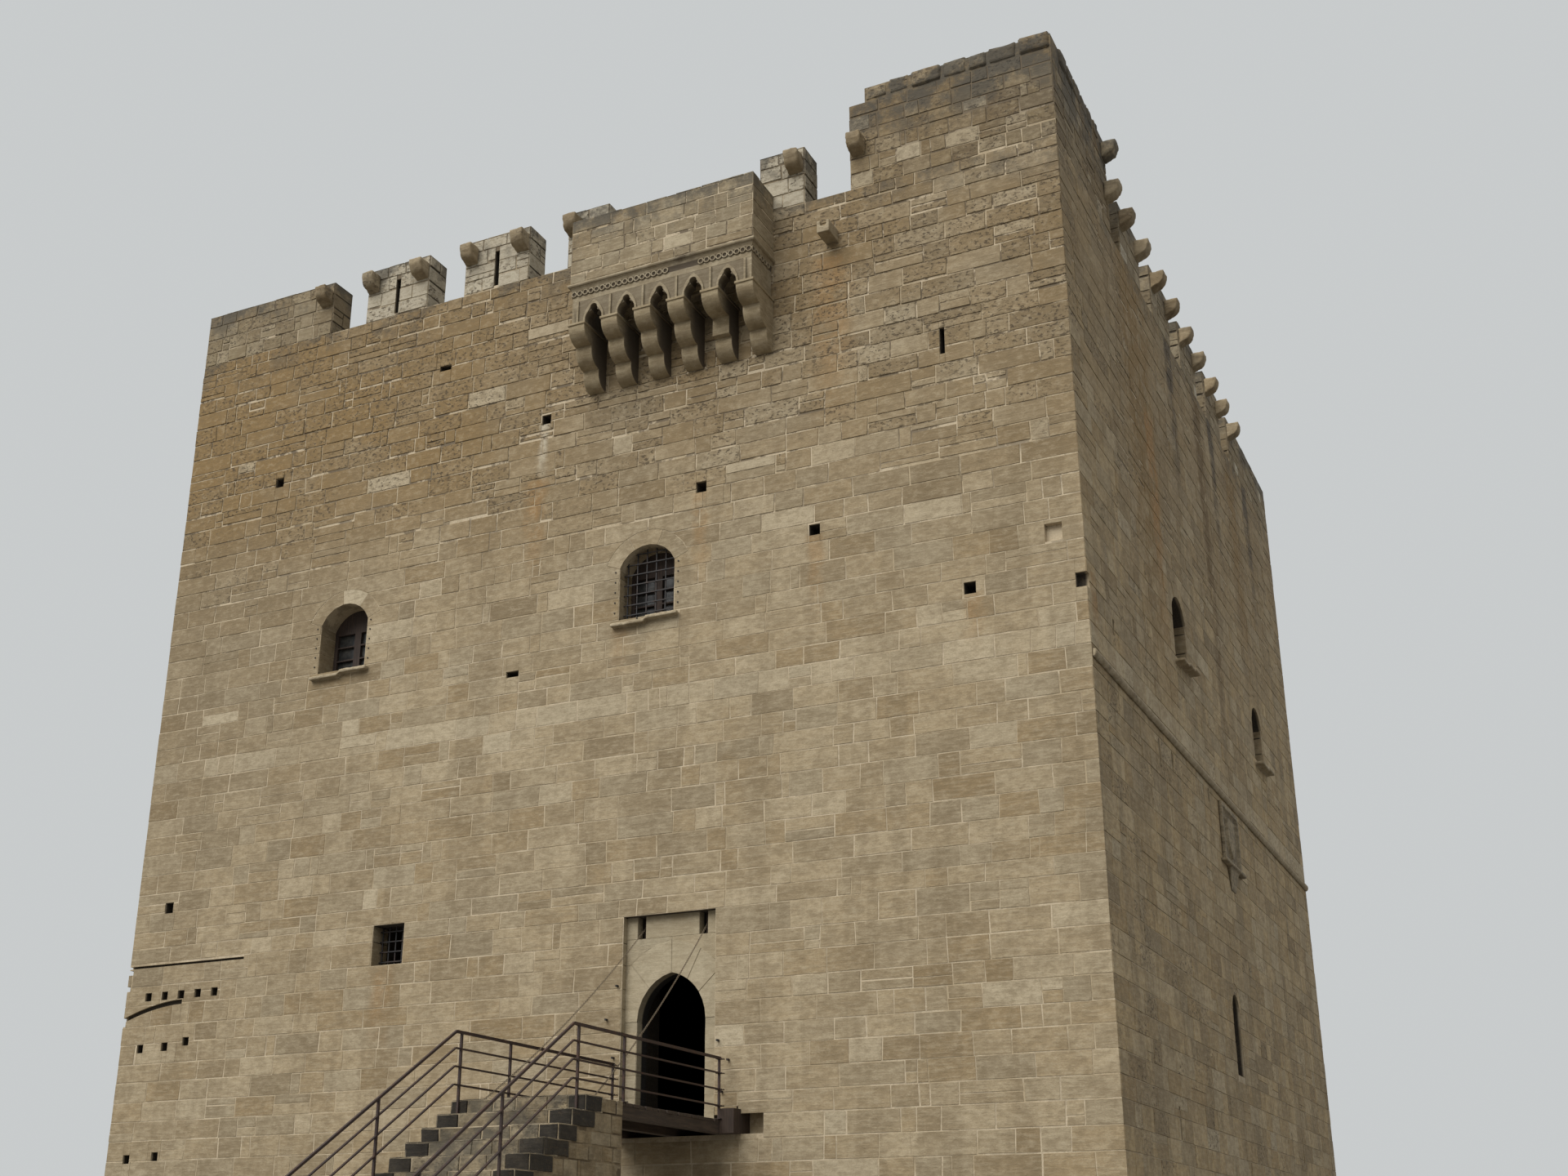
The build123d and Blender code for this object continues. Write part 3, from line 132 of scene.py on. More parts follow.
class Paint(Nodes):
    """A material on Object coordinates, so that nothing slides when the view changes."""

    def __init__(self, name, roughness=0.92, **constants):
        self.material = bpy.data.materials.new(name)
        self.material.use_nodes = True
        super().__init__(self.material.node_tree)
        self.shader = self.tree.nodes["Principled BSDF"].inputs
        for key, value in {"Roughness": roughness, **constants}.items():
            self.shader[key.replace("_", " ")].default_value = value
        coordinates = self.add("ShaderNodeTexCoord")
        self.place, self.normal = coordinates["Object"], coordinates["Normal"]
        self.x, self.y, self.z = self.add("ShaderNodeSeparateXYZ", self.place)

    def noise(self, scale, detail=5.0, roughness=0.6, stretch=(1, 1, 1), shift=0.0):
        moved = self.add("ShaderNodeMapping", self.place, Scale=stretch, Location=(shift, shift, 0))
        return self.add("ShaderNodeTexNoise", moved[0], Scale=scale, Detail=detail, Roughness=roughness)[0]

    def attribute(self, name):
        return self.add("ShaderNodeAttribute", settings={"attribute_name": name})["Fac"]

    def step(self, value, low, high, most=1.0):
        """0 below low and most above high, smooth between; low may be above high."""
        ends = (low, high, 0.0, most) if low < high else (high, low, most, 0.0)
        return self.add("ShaderNodeMapRange", value, *ends, settings={"interpolation_type": "SMOOTHSTEP"})[0]

    def mix(self, amount, a, b):
        node = self.tree.nodes.new("ShaderNodeMix")
        node.data_type = "RGBA"
        for value, socket in zip((amount, a, b), (node.inputs[0], node.inputs[6], node.inputs[7])):
            self.put((*value, 1.0) if isinstance(value, tuple) else value, socket)
        return node.outputs[2]

    def coat(self, amount, tone):
        """Lays one more tone over the colour so far."""
        self.colour = self.mix(amount, self.colour, tone)

    def finish(self, colour, height=None, distance=0.01, strength=0.6):
        self.put((*colour, 1.0) if isinstance(colour, tuple) else colour, self.shader["Base Color"])
        if height is not None:
            bump = self.add("ShaderNodeBump", Height=height, Distance=distance, Strength=strength)
            self.put(bump[0], self.shader["Normal"])
        return self.material


class Recipe(Nodes):
    """A geometry tree with named inputs; it ends in real geometry and a material."""

    def __init__(self, name, **inputs):
        super().__init__(bpy.data.node_groups.new(name, "GeometryNodeTree"))
        face = self.tree.interface
        face.new_socket("Geometry", in_out="INPUT", socket_type="NodeSocketGeometry")
        for key, value in inputs.items():
            kind = "NodeSocketInt" if isinstance(value, int) else "NodeSocketFloat"
            face.new_socket(key, in_out="INPUT", socket_type=kind).default_value = value
        face.new_socket("material", in_out="INPUT", socket_type="NodeSocketMaterial")
        face.new_socket("Geometry", in_out="OUTPUT", socket_type="NodeSocketGeometry")
        self.given = self.tree.nodes.new("NodeGroupInput").outputs

    def attribute(self, name, kind="FLOAT"):
        return self.add("GeometryNodeInputNamedAttribute", name, settings={"data_type": kind})[0]

    def pushed(self, geometry, depth):
        """The geometry with each point moved along its normal."""
        normal = self.add("GeometryNodeInputNormal")[0]
        push = self.add("ShaderNodeVectorMath", normal, Scale=depth, settings={"operation": "SCALE"})[0]
        return self.add("GeometryNodeSetPosition", geometry, Offset=push)[0]

    def finish(self, geometry, smooth=False):
        real = self.add("GeometryNodeRealizeInstances", geometry)[0]
        shaded = self.add("GeometryNodeSetShadeSmooth", real, Shade_Smooth=smooth)[0]
        painted = self.add("GeometryNodeSetMaterial", shaded, Material=self.given["material"])[0]
        self.put(painted, self.tree.nodes.new("NodeGroupOutput").inputs[0])
        return self.tree


def grow(obj, tree, **values):
    """Runs a geometry tree on an object and keeps the result as a plain mesh."""
    modifier = obj.modifiers.new("grow", "NODES")
    modifier.node_group = tree
    for item in tree.interface.items_tree:
        if item.name in values:
            modifier[item.identifier] = values[item.name]
    ready = obj.evaluated_get(bpy.context.evaluated_depsgraph_get())
    old, obj.data = obj.data, bpy.data.meshes.new_from_object(ready)
    obj.modifiers.clear()
    bpy.data.meshes.remove(old)
    return obj


def piece(name, mesh, slot, material=None):
    """Links a mesh as a piece of the keep."""
    obj = shown(name, mesh)
    if material:
        mesh.materials.append(material)
    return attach(obj, "root")


# Limestone: warm and pale low down, ochre high on the left, pitted and dark with
# lichen near the tops, and stained with rust below the old iron in its holes.
LIMESTONE = (0.375, 0.300, 0.190)
LIMESTONE_DARK = (0.175, 0.132, 0.075)
LIMESTONE_PALE = (0.490, 0.425, 0.305)
LIMESTONE_GREY = (0.250, 0.218, 0.155)
OCHRE = (0.225, 0.145, 0.055)
RUST = (0.310, 0.175, 0.062)
# Soot for stains, and also the tone of painted shade in recesses.
SOOT_AND_SHADE = (0.055, 0.040, 0.026)
LIME_WASH = (0.560, 0.520, 0.420)
LICHEN = (0.060, 0.057, 0.048)
MORTAR_PALE = (0.530, 0.450, 0.325)
MORTAR_DARK = (0.070, 0.050, 0.030)
# Near black: painted shade inside the openings of the walls.
PAINTED_ROOM_SHADE = (0.022, 0.018, 0.014)
FRONT_WINDOWS = (-4.935, 1.57)
SCAR, SEAT, ARCH_LEVEL = (8.78, 12.68), (3.40, 4.05), 13.50
# Shallow hollows that are left out of the painted shade in openings.
SHALLOW = ((*SCAR, 0.20), (*SEAT, 0.43), *((u, ARCH_LEVEL, 0.62) for u in FRONT_WINDOWS))
Stain = namedtuple("Stain", "place top length width amount colour")


def limestone(
    name, base=LIMESTONE, dark=LIMESTONE_DARK, weather=(12.0, 18.5), ochre=0.0,
    lichen=(20.2, 21.3), cover=0.0, stains=(), along="x", wash=0.35, shade_layers=(), shade_tone=SOOT_AND_SHADE,
    fresh=LIMESTONE_PALE, pale=LIMESTONE_PALE,
):
    """Limestone in coats: the stone's own tint, its bed, the weather, stains, pits, lichen and painted shade.
    """
    paint = Paint(name)
    paint.colour = base
    tint, new, age = (paint.attribute(key) for key in ("tint", "pale", "age"))
    high = paint.step(paint.z, *weather)
    grain = paint.noise(38.0, 6.0, 0.7)
    mottle = paint.noise(6.5, 8.0, 0.72, stretch=(1, 1, 1.6))
    bedding = paint.noise(3.0, stretch=(1, 1, 9))
    paint.coat(paint.times(tint, -0.62, clamp=True), dark)
    paint.coat(paint.times(tint, 0.60, clamp=True), pale)
    hue = paint.math("FRACT", paint.times(tint, 17.3))
    likeness = base[0] / LIMESTONE[0]
    ochre_bed, grey_bed = (tuple(c * likeness for c in tone) for tone in (OCHRE, LIMESTONE_GREY))
    paint.coat(paint.step(hue, 0.60, 1.0, 0.45), ochre_bed)
    paint.coat(paint.step(hue, 0.40, 0.0, 0.50), grey_bed)
    paint.coat(paint.step(paint.noise(2.3, stretch=(1, 1, 1.6)), 0.45, 0.60, 0.34), dark)
    paint.coat(paint.step(paint.noise(1.1, stretch=(1.5, 1.5, 0.12)), 0.47, 0.60, wash), dark)
    paint.coat(paint.step(bedding, 0.46, 0.62, 0.24), pale)
    warm = paint.times(paint.step(paint.noise(0.32), 0.36, 0.60, 0.55 + 0.3 * ochre), high)
    paint.coat(warm, OCHRE)
    if ochre:
        flank = paint.times(paint.step(paint.x, -3.0, -7.5), paint.step(paint.z, 8.0, 11.5, 0.44))
        paint.coat(flank, dark)
    paint.coat(paint.times(high, 0.34), dark)
    strong = paint.times(tint, paint.blend(age, 0.7, 0.12))
    paint.coat(paint.times(strong, -1.0, clamp=True), dark)
    paint.coat(paint.times(strong, 0.8, clamp=True), pale)
    if ochre:
        corner = paint.times(paint.step(paint.x, 2.0, -4.5), paint.step(paint.z, 14.0, 17.0, ochre))
        uneven = paint.step(paint.noise(0.55, shift=3.0), 0.36, 0.56)
        paint.coat(paint.times(corner, paint.blend(uneven, 0.5, 0.5)), OCHRE)
    paint.coat(paint.times(new, 0.80), fresh)
    for stain in stains:
        wander = paint.times(paint.noise(1.3, shift=stain.place), 0.4)
        offset = paint.math("SUBTRACT", getattr(paint, along), stain.place + 0.2)
        side = paint.math("ABSOLUTE", paint.math("ADD", offset, wander))
        run = paint.step(side, stain.width, stain.width * 0.2)
        fade = paint.step(paint.z, stain.top - stain.length, stain.top - 0.1 * stain.length)
        run = paint.times(run, fade)
        run = paint.times(run, paint.step(paint.z, stain.top + 0.05, stain.top, stain.amount))
        patchy = paint.step(paint.noise(2.6, shift=stain.top), 0.32, 0.60)
        paint.coat(paint.times(run, patchy), stain.colour)
    blotched = paint.blend(age, 0.30, 0.30)
    paint.coat(paint.times(paint.step(mottle, 0.46, 0.62), blotched), dark)
    paint.coat(paint.step(mottle, 0.50, 0.36, 0.26), pale)
    pits = paint.step(paint.noise(11.0, 6.0, 0.72, stretch=(1, 1, 1.7)), 0.55, 0.61)
    pitted = paint.step(paint.math("ADD", age, paint.noise(0.75)), 0.95, 1.22)
    worn = paint.times(pits, pitted)
    paint.coat(paint.times(worn, 0.85), MORTAR_DARK)
    near_top = paint.math("MAXIMUM", paint.step(paint.z, *lichen), cover)
    growth = paint.math("ADD", paint.noise(1.7, 9.0, 0.72), paint.times(near_top, 0.16))
    paint.coat(paint.times(paint.step(growth, 0.54, 0.70, 0.85), near_top), LICHEN)
    paint.coat(paint.step(grain, 0.35, 0.75, 0.30), dark)
    # Painted shade: each shade layer darkens a recess or opening with the shade tone.
    for layer in shade_layers:
        paint.coat(layer(paint), shade_tone)
    layers = paint.blend(bedding, 0.35, paint.times(grain, 0.2))
    layers = paint.blend(mottle, -0.6, layers)
    return paint.finish(paint.colour, paint.math("SUBTRACT", layers, worn), 0.03, 0.6)


def mortar(name, pale=MORTAR_PALE):
    """Joints and the wall behind them: pale lime, washed out high up, and painted shade, near black, in every
    hole.
    """
    paint = Paint(name)
    high = paint.step(paint.blend(paint.noise(1.1), 7.0, paint.z), 15.0, 21.0)
    washed_out = paint.blend(high, 0.60, 0.25)
    grit = paint.noise(45.0, 6.0, 0.7)
    patchy = paint.step(paint.noise(2.4, 7.0, 0.7), 0.48, 0.56)
    at_the_top = paint.step(paint.z, 19.9, 20.9, 0.85)
    empty = paint.math("MAXIMUM", paint.times(washed_out, patchy), at_the_top)
    flush = paint.step(paint.noise(1.5, shift=7.0), 0.46, 0.58, 0.7)
    colour = paint.mix(empty, paint.mix(flush, pale, LIMESTONE), MORTAR_DARK)
    # Painted shade: the wall inside every opening deeper than a few centimetres, except the shallow ones, is
    # painted near black.
    out = paint.math("MAXIMUM", paint.math("ABSOLUTE", paint.x), paint.math("ABSOLUTE", paint.y))
    hollow = paint.step(out, HALF - 0.002, HALF - 0.06)
    for x, z, reach in SHALLOW:
        away = paint.math("MAXIMUM", paint.apart(paint.x, x), paint.apart(paint.z, z))
        hollow = paint.times(hollow, paint.step(away, reach, reach + 0.02))
    colour = paint.mix(hollow, colour, PAINTED_ROOM_SHADE)
    return paint.finish(paint.mix(paint.step(grit, 0.35, 0.8, 0.4), colour, LIMESTONE_DARK), grit, 0.006)


FRONT_STAINS = (
    Stain(-0.66, 16.62, 1.5, 0.16, 0.75, LIME_WASH),
    Stain(-0.80, 15.50, 2.3, 0.30, 0.75, RUST),
    Stain(2.60, 14.58, 2.4, 0.22, 0.55, RUST),
    Stain(4.75, 13.38, 1.9, 0.20, 0.45, RUST),
    Stain(5.10, 18.60, 4.2, 0.55, 0.60, RUST),
    Stain(7.40, 11.88, 1.1, 0.26, 0.50, RUST),
    Stain(-3.45, 6.86, 1.9, 0.30, 0.50, RUST),
    Stain(1.10, 12.35, 1.4, 0.30, 0.30, RUST),
    Stain(3.20, 10.60, 3.4, 0.30, 0.30, OCHRE),
    Stain(2.24, 18.50, 1.3, 2.20, 0.80, SOOT_AND_SHADE),
)
front_stone = limestone("front_limestone", ochre=1.0, stains=FRONT_STAINS, lichen=(18.6, 20.4))
wall_mortar = mortar("wall_mortar")
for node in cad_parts.values():
    node.data.materials.clear()
    node.data.materials.append(wall_mortar)


# Facing stones are laid as flat outlines, course by course, and one geometry
# tree dresses them: it raises each from the wall, chamfers and roughens it.
class Stonework:
    def __init__(self, seed, renewed=0.0, wear=None):
        self.dice = random.Random(seed)
        self.renewed, self.wear = renewed, wear
        self.stones = []

    def stone(self, patch, outline, proud=None, pale=0.0, age=None, tint=None):
        """One stone; high on a wall it stands out more and is more worn."""
        dice = self.dice
        height = sum(v for u, v in outline) / len(outline)
        worn = self.wear if self.wear is not None else min(1.0, max(0.0, (height - 12.5) / 5.0))
        if age is None:
            age = min(1.0, worn * dice.uniform(0.2, 1.0) + dice.uniform(0.0, 0.25))
        if proud is None:
            proud = (0.004 + 0.008 * worn) * dice.uniform(0.5, 1.5)
        if tint is None:
            tint = max(-1.0, min(1.0, dice.gauss(0.0, 0.36)))
        if dice.random() < self.renewed:
            pale = dice.uniform(0.5, 1.0)
        self.stones.append((patch, outline, proud, pale, age, tint))

    def lay(self, patch, levels, start, end, openings=(), lengths=(0.34, 1.05), joint=0.023, **look):
        """Courses of stones between two ends, cut round the openings."""
        for low, high in zip(levels, levels[1:]):
            left = [(start, low), (start, high)]
            for opening in sorted(openings, key=lambda o: o.centre):
                if opening.low < high - 0.02 and opening.high > low + 0.02:
                    self.row(patch, low, high, left, opening.edge(low, high, -1), lengths, joint, look)
                    left = opening.edge(low, high, 1)
            self.row(patch, low, high, left, [(end, low), (end, high)], lengths, joint, look)

    def row(self, patch, low, high, left, right, lengths, joint, look):
        dice = self.dice
        first, last = max(u for u, v in left), min(u for u, v in right)
        if last - first < 0.04:
            return
        bounds, reach = [left], first + dice.uniform(*lengths)
        while reach < last - lengths[0] * 0.6:
            lean = dice.uniform(-0.008, 0.008)
            bounds.append([(reach - lean, low), (reach + lean, high)])
            reach += dice.uniform(*lengths) * (0.4 if dice.random() < 0.15 else 1.0)
        bounds.append(right)
        for near, far in zip(bounds, bounds[1:]):
            levels, plain = [low, high], len(near) == len(far) == 2
            if plain and high - low > 0.3 and dice.random() < (0.07 if low < 14 else 0.16):
                levels.insert(1, low + (high - low) * dice.uniform(0.35, 0.65))
            for bottom, top in zip(levels, levels[1:]):
                gap = joint / 2 * dice.uniform(0.3, 1.3)
                open_bed = 0.045 * dice.random() ** 4 if low > 14 and patch.up.z else 0.0
                below, above = bottom + gap + open_bed, top - gap
                outline = [(u - gap, min(max(v, below), above)) for u, v in far]
                outline += [(u + gap, min(max(v, below), above)) for u, v in reversed(near)]
                self.stone(patch, outline, **look)

    def recut(self, patch, start, end, pieces):
        """Puts in place of each stone between start and end what pieces leaves of it."""
        kept = []
        for there, outline, *look in self.stones:
            (u0, v0), (u1, v1) = (tuple(map(f, *outline)) for f in (min, max))
            away = there is not patch or u0 >= end or u1 <= start
            parts = None if away else pieces(u0, v0, u1, v1)
            kept += [(there, part, *look) for part in ([outline] if parts is None else parts)]
        self.stones = kept

    def cut(self, patch, low_u, high_u, low_v, high_v):
        """Cuts a small square hole: the stone there becomes the pieces round it."""

        def pieces(u0, v0, u1, v1):
            if v0 >= high_v or v1 <= low_v:
                return None
            over = max(low_u, u0), min(high_u, u1)
            beside = (u0, low_u, v0, v1), (high_u, u1, v0, v1)
            quads = (*beside, (*over, v0, low_v), (*over, high_v, v1))
            large = [quad for quad in quads if quad[1] - quad[0] > 0.03 and quad[3] - quad[2] > 0.03]
            return [[(b, c), (b, d), (a, d), (a, c)] for a, b, c, d in large]

        self.recut(patch, low_u, high_u, pieces)

    def carve(self, patch, start, end, band, height):
        """Cuts a curved groove whose lower edge is band(u)."""

        def pieces(u0, v0, u1, v1):
            if max(map(band, (u0, u1))) + height < v0 or min(map(band, (u0, u1))) > v1:
                return None
            stop = min(u1, end)
            across = [u0 + (stop - u0) * i / 5 for i in range(6)]
            lower = [(u, min(max(band(u), v0), v1)) for u in reversed(across)]
            upper = [(u, min(max(band(u) + height, v0), v1)) for u in across]
            halves = [(u0, v0), (stop, v0), *lower], [*upper, (stop, v1), (u0, v1)]
            parts = [half for half in halves if max(v for u, v in half) - min(v for u, v in half) > 0.02]
            if u1 > stop + 0.03:
                parts.append([(u1, v0), (u1, v1), (stop + 0.01, v1), (stop + 0.01, v0)])
            return parts

        self.recut(patch, start, end, pieces)

    def bleach(self, low, high, least, most):
        """A course of paler stones."""
        for i, (patch, outline, proud, pale, *rest) in enumerate(self.stones):
            if low < sum(v for u, v in outline) / len(outline) < high:
                self.stones[i] = (patch, outline, proud, self.dice.uniform(least, most), *rest)

    def mesh(self, name):
        verts, faces = [], []
        for patch, outline, *look in self.stones:
            faces.append(range(len(verts), len(verts) + len(outline)))
            verts += [point(patch, u, v, 0.0005) for u, v in outline]
        mesh = bpy.data.meshes.new(name)
        mesh.from_pydata(verts, [], faces)
        for i, key in enumerate(("proud", "pale", "age", "tint"), start=2):
            layer = mesh.attributes.new(key, "FLOAT", "FACE")
            layer.data.foreach_set("value", [stone[i] for stone in self.stones])
        return mesh


class Hole:
    """A rectangular opening in the facing."""

    def __init__(self, start, end, low, high):
        self.centre, self.half, self.low, self.high = (start + end) / 2, (end - start) / 2, low, high

    def edge(self, low, high, side):
        return [(self.centre + side * self.half, low), (self.centre + side * self.half, high)]


class Arch:
    """An arched opening: two arcs that meet over the middle, with a ring of voussoirs."""

    def __init__(self, centre, half, low, spring, rise, ring, pointed=False):
        self.centre, self.half, self.low, self.spring, self.ring = centre, half, low, spring, ring
        self.radius = (rise**2 + half**2) / (2 * half if pointed else 2 * rise)
        self.arc_u = self.radius - half if pointed else 0.0
        self.arc_v = spring if pointed else spring + rise - self.radius
        outer = [self.at(-i / 12, ring) for i in range(12, -1, -1)]
        self.outline = [(half, low), (half, spring)] + [(centre - u, v) for u, v in outer]
        self.high = outer[-1][1]

    def at(self, turn, out):
        """The point of the arch at turn: -1 left springing, 0 crown, 1 right springing."""
        reach = self.radius + out
        first = math.atan2(self.spring - self.arc_v, -self.half - self.arc_u)
        last = math.acos(-self.arc_u / reach)
        angle = last + (first - last) * abs(turn)
        u = self.arc_u + reach * math.cos(angle)
        return self.centre + (u if turn <= 0 else -u), self.arc_v + reach * math.sin(angle)

    def half_at(self, height):
        for (a, low), (b, high) in zip(self.outline, self.outline[1:]):
            if low <= height <= high and high > low:
                return a + (b - a) * (height - low) / (high - low)
        return self.half if height < self.spring else 0.0

    def edge(self, low, high, side):
        between = [(w, v) for w, v in self.outline if low < v < high]
        ends = [(self.half_at(low + 1e-6), low)], [(self.half_at(high - 1e-6), high)]
        return [(self.centre + side * w, v) for w, v in ends[0] + between + ends[1]]

    def voussoirs(self, work, patch, turns, joint=0.008, **look):
        """Ring stones between the given turns."""
        trim = joint / 2 / (self.radius * 1.3)
        for a, b in zip(turns, turns[1:]):
            steps = [a + trim + (b - a - 2 * trim) * i / 3 for i in range(4)]
            outline = [self.at(t, 0.0) for t in steps] + [self.at(t, self.ring) for t in reversed(steps)]
            work.stone(patch, outline, **look)


def dressing():
    """Recipe for dressed stones: raised, chamfered by age, and roughened."""
    tree = Recipe("dressed_stones", face_scale=0.990, relief=0.006, grain=2.6, cuts=1)
    given, age = tree.given, tree.attribute("age")
    raised = tree.add(
        "GeometryNodeExtrudeMesh", given["Geometry"], Offset_Scale=tree.attribute("proud"),
        Individual=True, settings={"mode": "FACES"},
    )
    scale = tree.blend(age, -0.028, given["face_scale"])
    shrunk = tree.add("GeometryNodeScaleElements", raised["Mesh"], raised["Top"], scale)[0]
    cut = tree.add("GeometryNodeSubdivideMesh", shrunk, given["cuts"])[0]
    noise = tree.add("ShaderNodeTexNoise", Scale=given["grain"], Detail=3.0)[0]
    depth = tree.times(tree.math("SUBTRACT", noise, 0.5), given["relief"])
    worn = tree.blend(age, 2.4, 0.5)
    return tree.finish(tree.pushed(cut, tree.times(depth, worn)))


DRESSING = dressing()


def dress(name, work, material, slot, **values):
    return grow(piece(name, work.mesh(name), slot), DRESSING, material=material, **values)


WINDOW_HALF, WINDOW_SPRING, WINDOW_RISE, WINDOW_RING = 0.54, 13.44, 0.37, 0.28
SILL_LEVEL = 12.50
WRAP = 0.014
PALE_COURSE = (10.78, 11.15)
front = south(-HALF)
square_low, square_high = Vector((-3.71, 0, 6.90)), Vector((-3.05, 0, 7.60))
SOCKET, SMALL_SOCKET = 0.20, 0.15
SOCKETS = ((-0.64, 16.73), (2.61, 14.70), (4.74, 13.49), (-6.87, 16.72), (7.39, 11.99), (-8.47, 8.33))
SMALL_SOCKETS = [(-8.78, 5.77), (-8.20, 5.78), (-7.71, 5.85), (-8.79, 3.84), (-8.13, 3.87)]
SMALL_SOCKETS += [(-7.94 + 0.39 * i, 6.70) for i in (-2, -1, 0, 1, 2)]
LOOP, LOOP_HEIGHT, SHORT_LOOP = 0.09, 0.50, 0.26
FRONT_LOOP = (7.09, 16.46)
SCAR_SIZE = (0.28, 0.30)
SEAT_END, SEAT_LEVEL, SEAT_TOP = 3.81, 3.80, 4.15
BOX_WALL = 0.26
HOLES, HOLE_SIZE = ((-3.01, 18.37), (-1.10, 11.83)), (0.26, 0.11)
CORNER_GAP = (9.08, 11.70, 11.94)
NOTCH_DEPTH, NOTCH_HEIGHT, GROOVE_DEPTH = 0.13, 0.09, 0.07
NOTCHES = ((7.13, 0.09), (6.83, 0.06), (6.19, 0.05))
GROOVE = (-6.55, 7.24, 7.285)
WORN_END, WORN_HEIGHT = -7.90, 0.085
WORN_LEVEL, WORN_RISE, WORN_BOW = 6.26, 0.27, 0.24


def worn_line(u):
    """Lower edge of the groove that rises in a bow from the west corner."""
    t = (u + HALF) / (WORN_END + HALF)
    return WORN_LEVEL + WORN_RISE * t + WORN_BOW * t * (1 - t)


def gap(work, patch, centre, width, height):
    u, v = centre
    work.cut(patch, u - width / 2, u + width / 2, v - height / 2, v + height / 2)


facing = Stonework(seed=11, renewed=0.012)
openings = [Arch(u, WINDOW_HALF, SILL_LEVEL, WINDOW_SPRING, WINDOW_RISE, WINDOW_RING) for u in FRONT_WINDOWS]
arches = list(openings)
openings.append(Hole(PANEL_LOW.x, PANEL_HIGH.x, SEAT_LEVEL, PANEL_HIGH.z))
openings.append(Hole(PANEL_HIGH.x, SEAT_END, SEAT_LEVEL, SEAT_TOP))
openings.append(Hole(square_low.x, square_high.x, square_low.z, square_high.z))
openings.append(Hole(BOX_LOW.x + BOX_WALL, BOX_HIGH.x - BOX_WALL, TERRACE + 0.02, SILL))
facing.lay(front, courses(0.0, SILL), -HALF - WRAP, HALF + WRAP, openings)
for spot in SOCKETS:
    gap(facing, front, spot, SOCKET, SOCKET)
for spot in SMALL_SOCKETS:
    gap(facing, front, spot, SMALL_SOCKET, SMALL_SOCKET)
for spot in HOLES:
    gap(facing, front, spot, *HOLE_SIZE)
gap(facing, front, SCAR, *SCAR_SIZE)
gap(facing, front, FRONT_LOOP, LOOP, LOOP_HEIGHT)
facing.cut(front, CORNER_GAP[0], HALF + WRAP, *CORNER_GAP[1:])
for level, width in NOTCHES:
    facing.cut(front, -HALF - WRAP, -HALF + width, level, level + NOTCH_HEIGHT)
facing.cut(front, -HALF - WRAP, *GROOVE)
facing.carve(front, -HALF - WRAP, WORN_END, worn_line, WORN_HEIGHT)
facing.bleach(*PALE_COURSE, 0.2, 0.75)
first = len(facing.stones)
arches[0].voussoirs(facing, front, (-1, -0.08, 0.52, 1), age=0.3, tint=-0.1)
facing.stones[first + 1] = (*facing.stones[first + 1][:3], 1.0, 0.1, 0.6)
arches[1].voussoirs(facing, front, (-1, -0.38, 0.30, 1), age=0.3)
dress("front_facing", facing, front_stone, "wall_stone")

# The other three walls, of the same limestone and mortar. The east wall has a
# lancet under the arms and narrow loops; the back and the west wall are finished
# from the symmetry of the keep.
SIDE_WINDOWS = (-2.75, 4.65)
LANCET, LANCET_HALF, LANCET_LOW, LANCET_SPRING, LANCET_RING = -0.65, 0.31, 5.17, 6.44, 0.2
LOOPS = ((-5.25, 10.15), (-5.82, 4.07), (3.96, 4.37), (5.17, 4.35))
SHORT_LOOPS = ((-7.82, 11.51), (-4.29, 10.25), (-1.41, 10.34))
OCHRE_DARK = (0.130, 0.080, 0.028)
EAST_STAINS = (
    Stain(-4.60, 20.5, 13.0, 1.60, 1.50, OCHRE),
    Stain(-3.95, 17.1, 5.6, 0.45, 1.40, RUST),
    Stain(-1.60, 20.5, 5.0, 0.40, 1.60, SOOT_AND_SHADE),
    Stain(0.90, 20.5, 12.0, 0.50, 1.80, OCHRE_DARK),
    Stain(2.30, 20.5, 5.5, 0.35, 1.60, SOOT_AND_SHADE),
    Stain(4.30, 20.5, 8.5, 0.90, 1.50, OCHRE),
    Stain(6.10, 20.5, 5.5, 0.45, 1.60, SOOT_AND_SHADE),
    Stain(-8.90, 12.0, 1.4, 0.25, 0.90, RUST),
)
side_stone = limestone(
    "side_limestone", (0.450, 0.340, 0.185),
    stains=EAST_STAINS, along="y", lichen=(18.2, 21.0), wash=0.5,
)


def east(x):
    return flat((x, 0, 0), (0, 1, 0))


def north(y):
    return flat((0, y, 0), (-1, 0, 0))


def west(x):
    return flat((x, 0, 0), (0, -1, 0))


def side_facing(patch, windows, reach, seed, extra=()):
    work = Stonework(seed, wear=0.5)
    arches = [Arch(u, WINDOW_HALF, SILL_LEVEL, WINDOW_SPRING, WINDOW_RISE, WINDOW_RING) for u in windows]
    work.lay(patch, courses(0.0, SILL), -reach, reach, [*arches, *extra], joint=0.013)
    for arch in arches:
        arch.voussoirs(work, patch, (-1, -0.4, 0.38, 1), age=0.3)
    work.bleach(*PALE_COURSE, 0.3, 0.9)
    return work


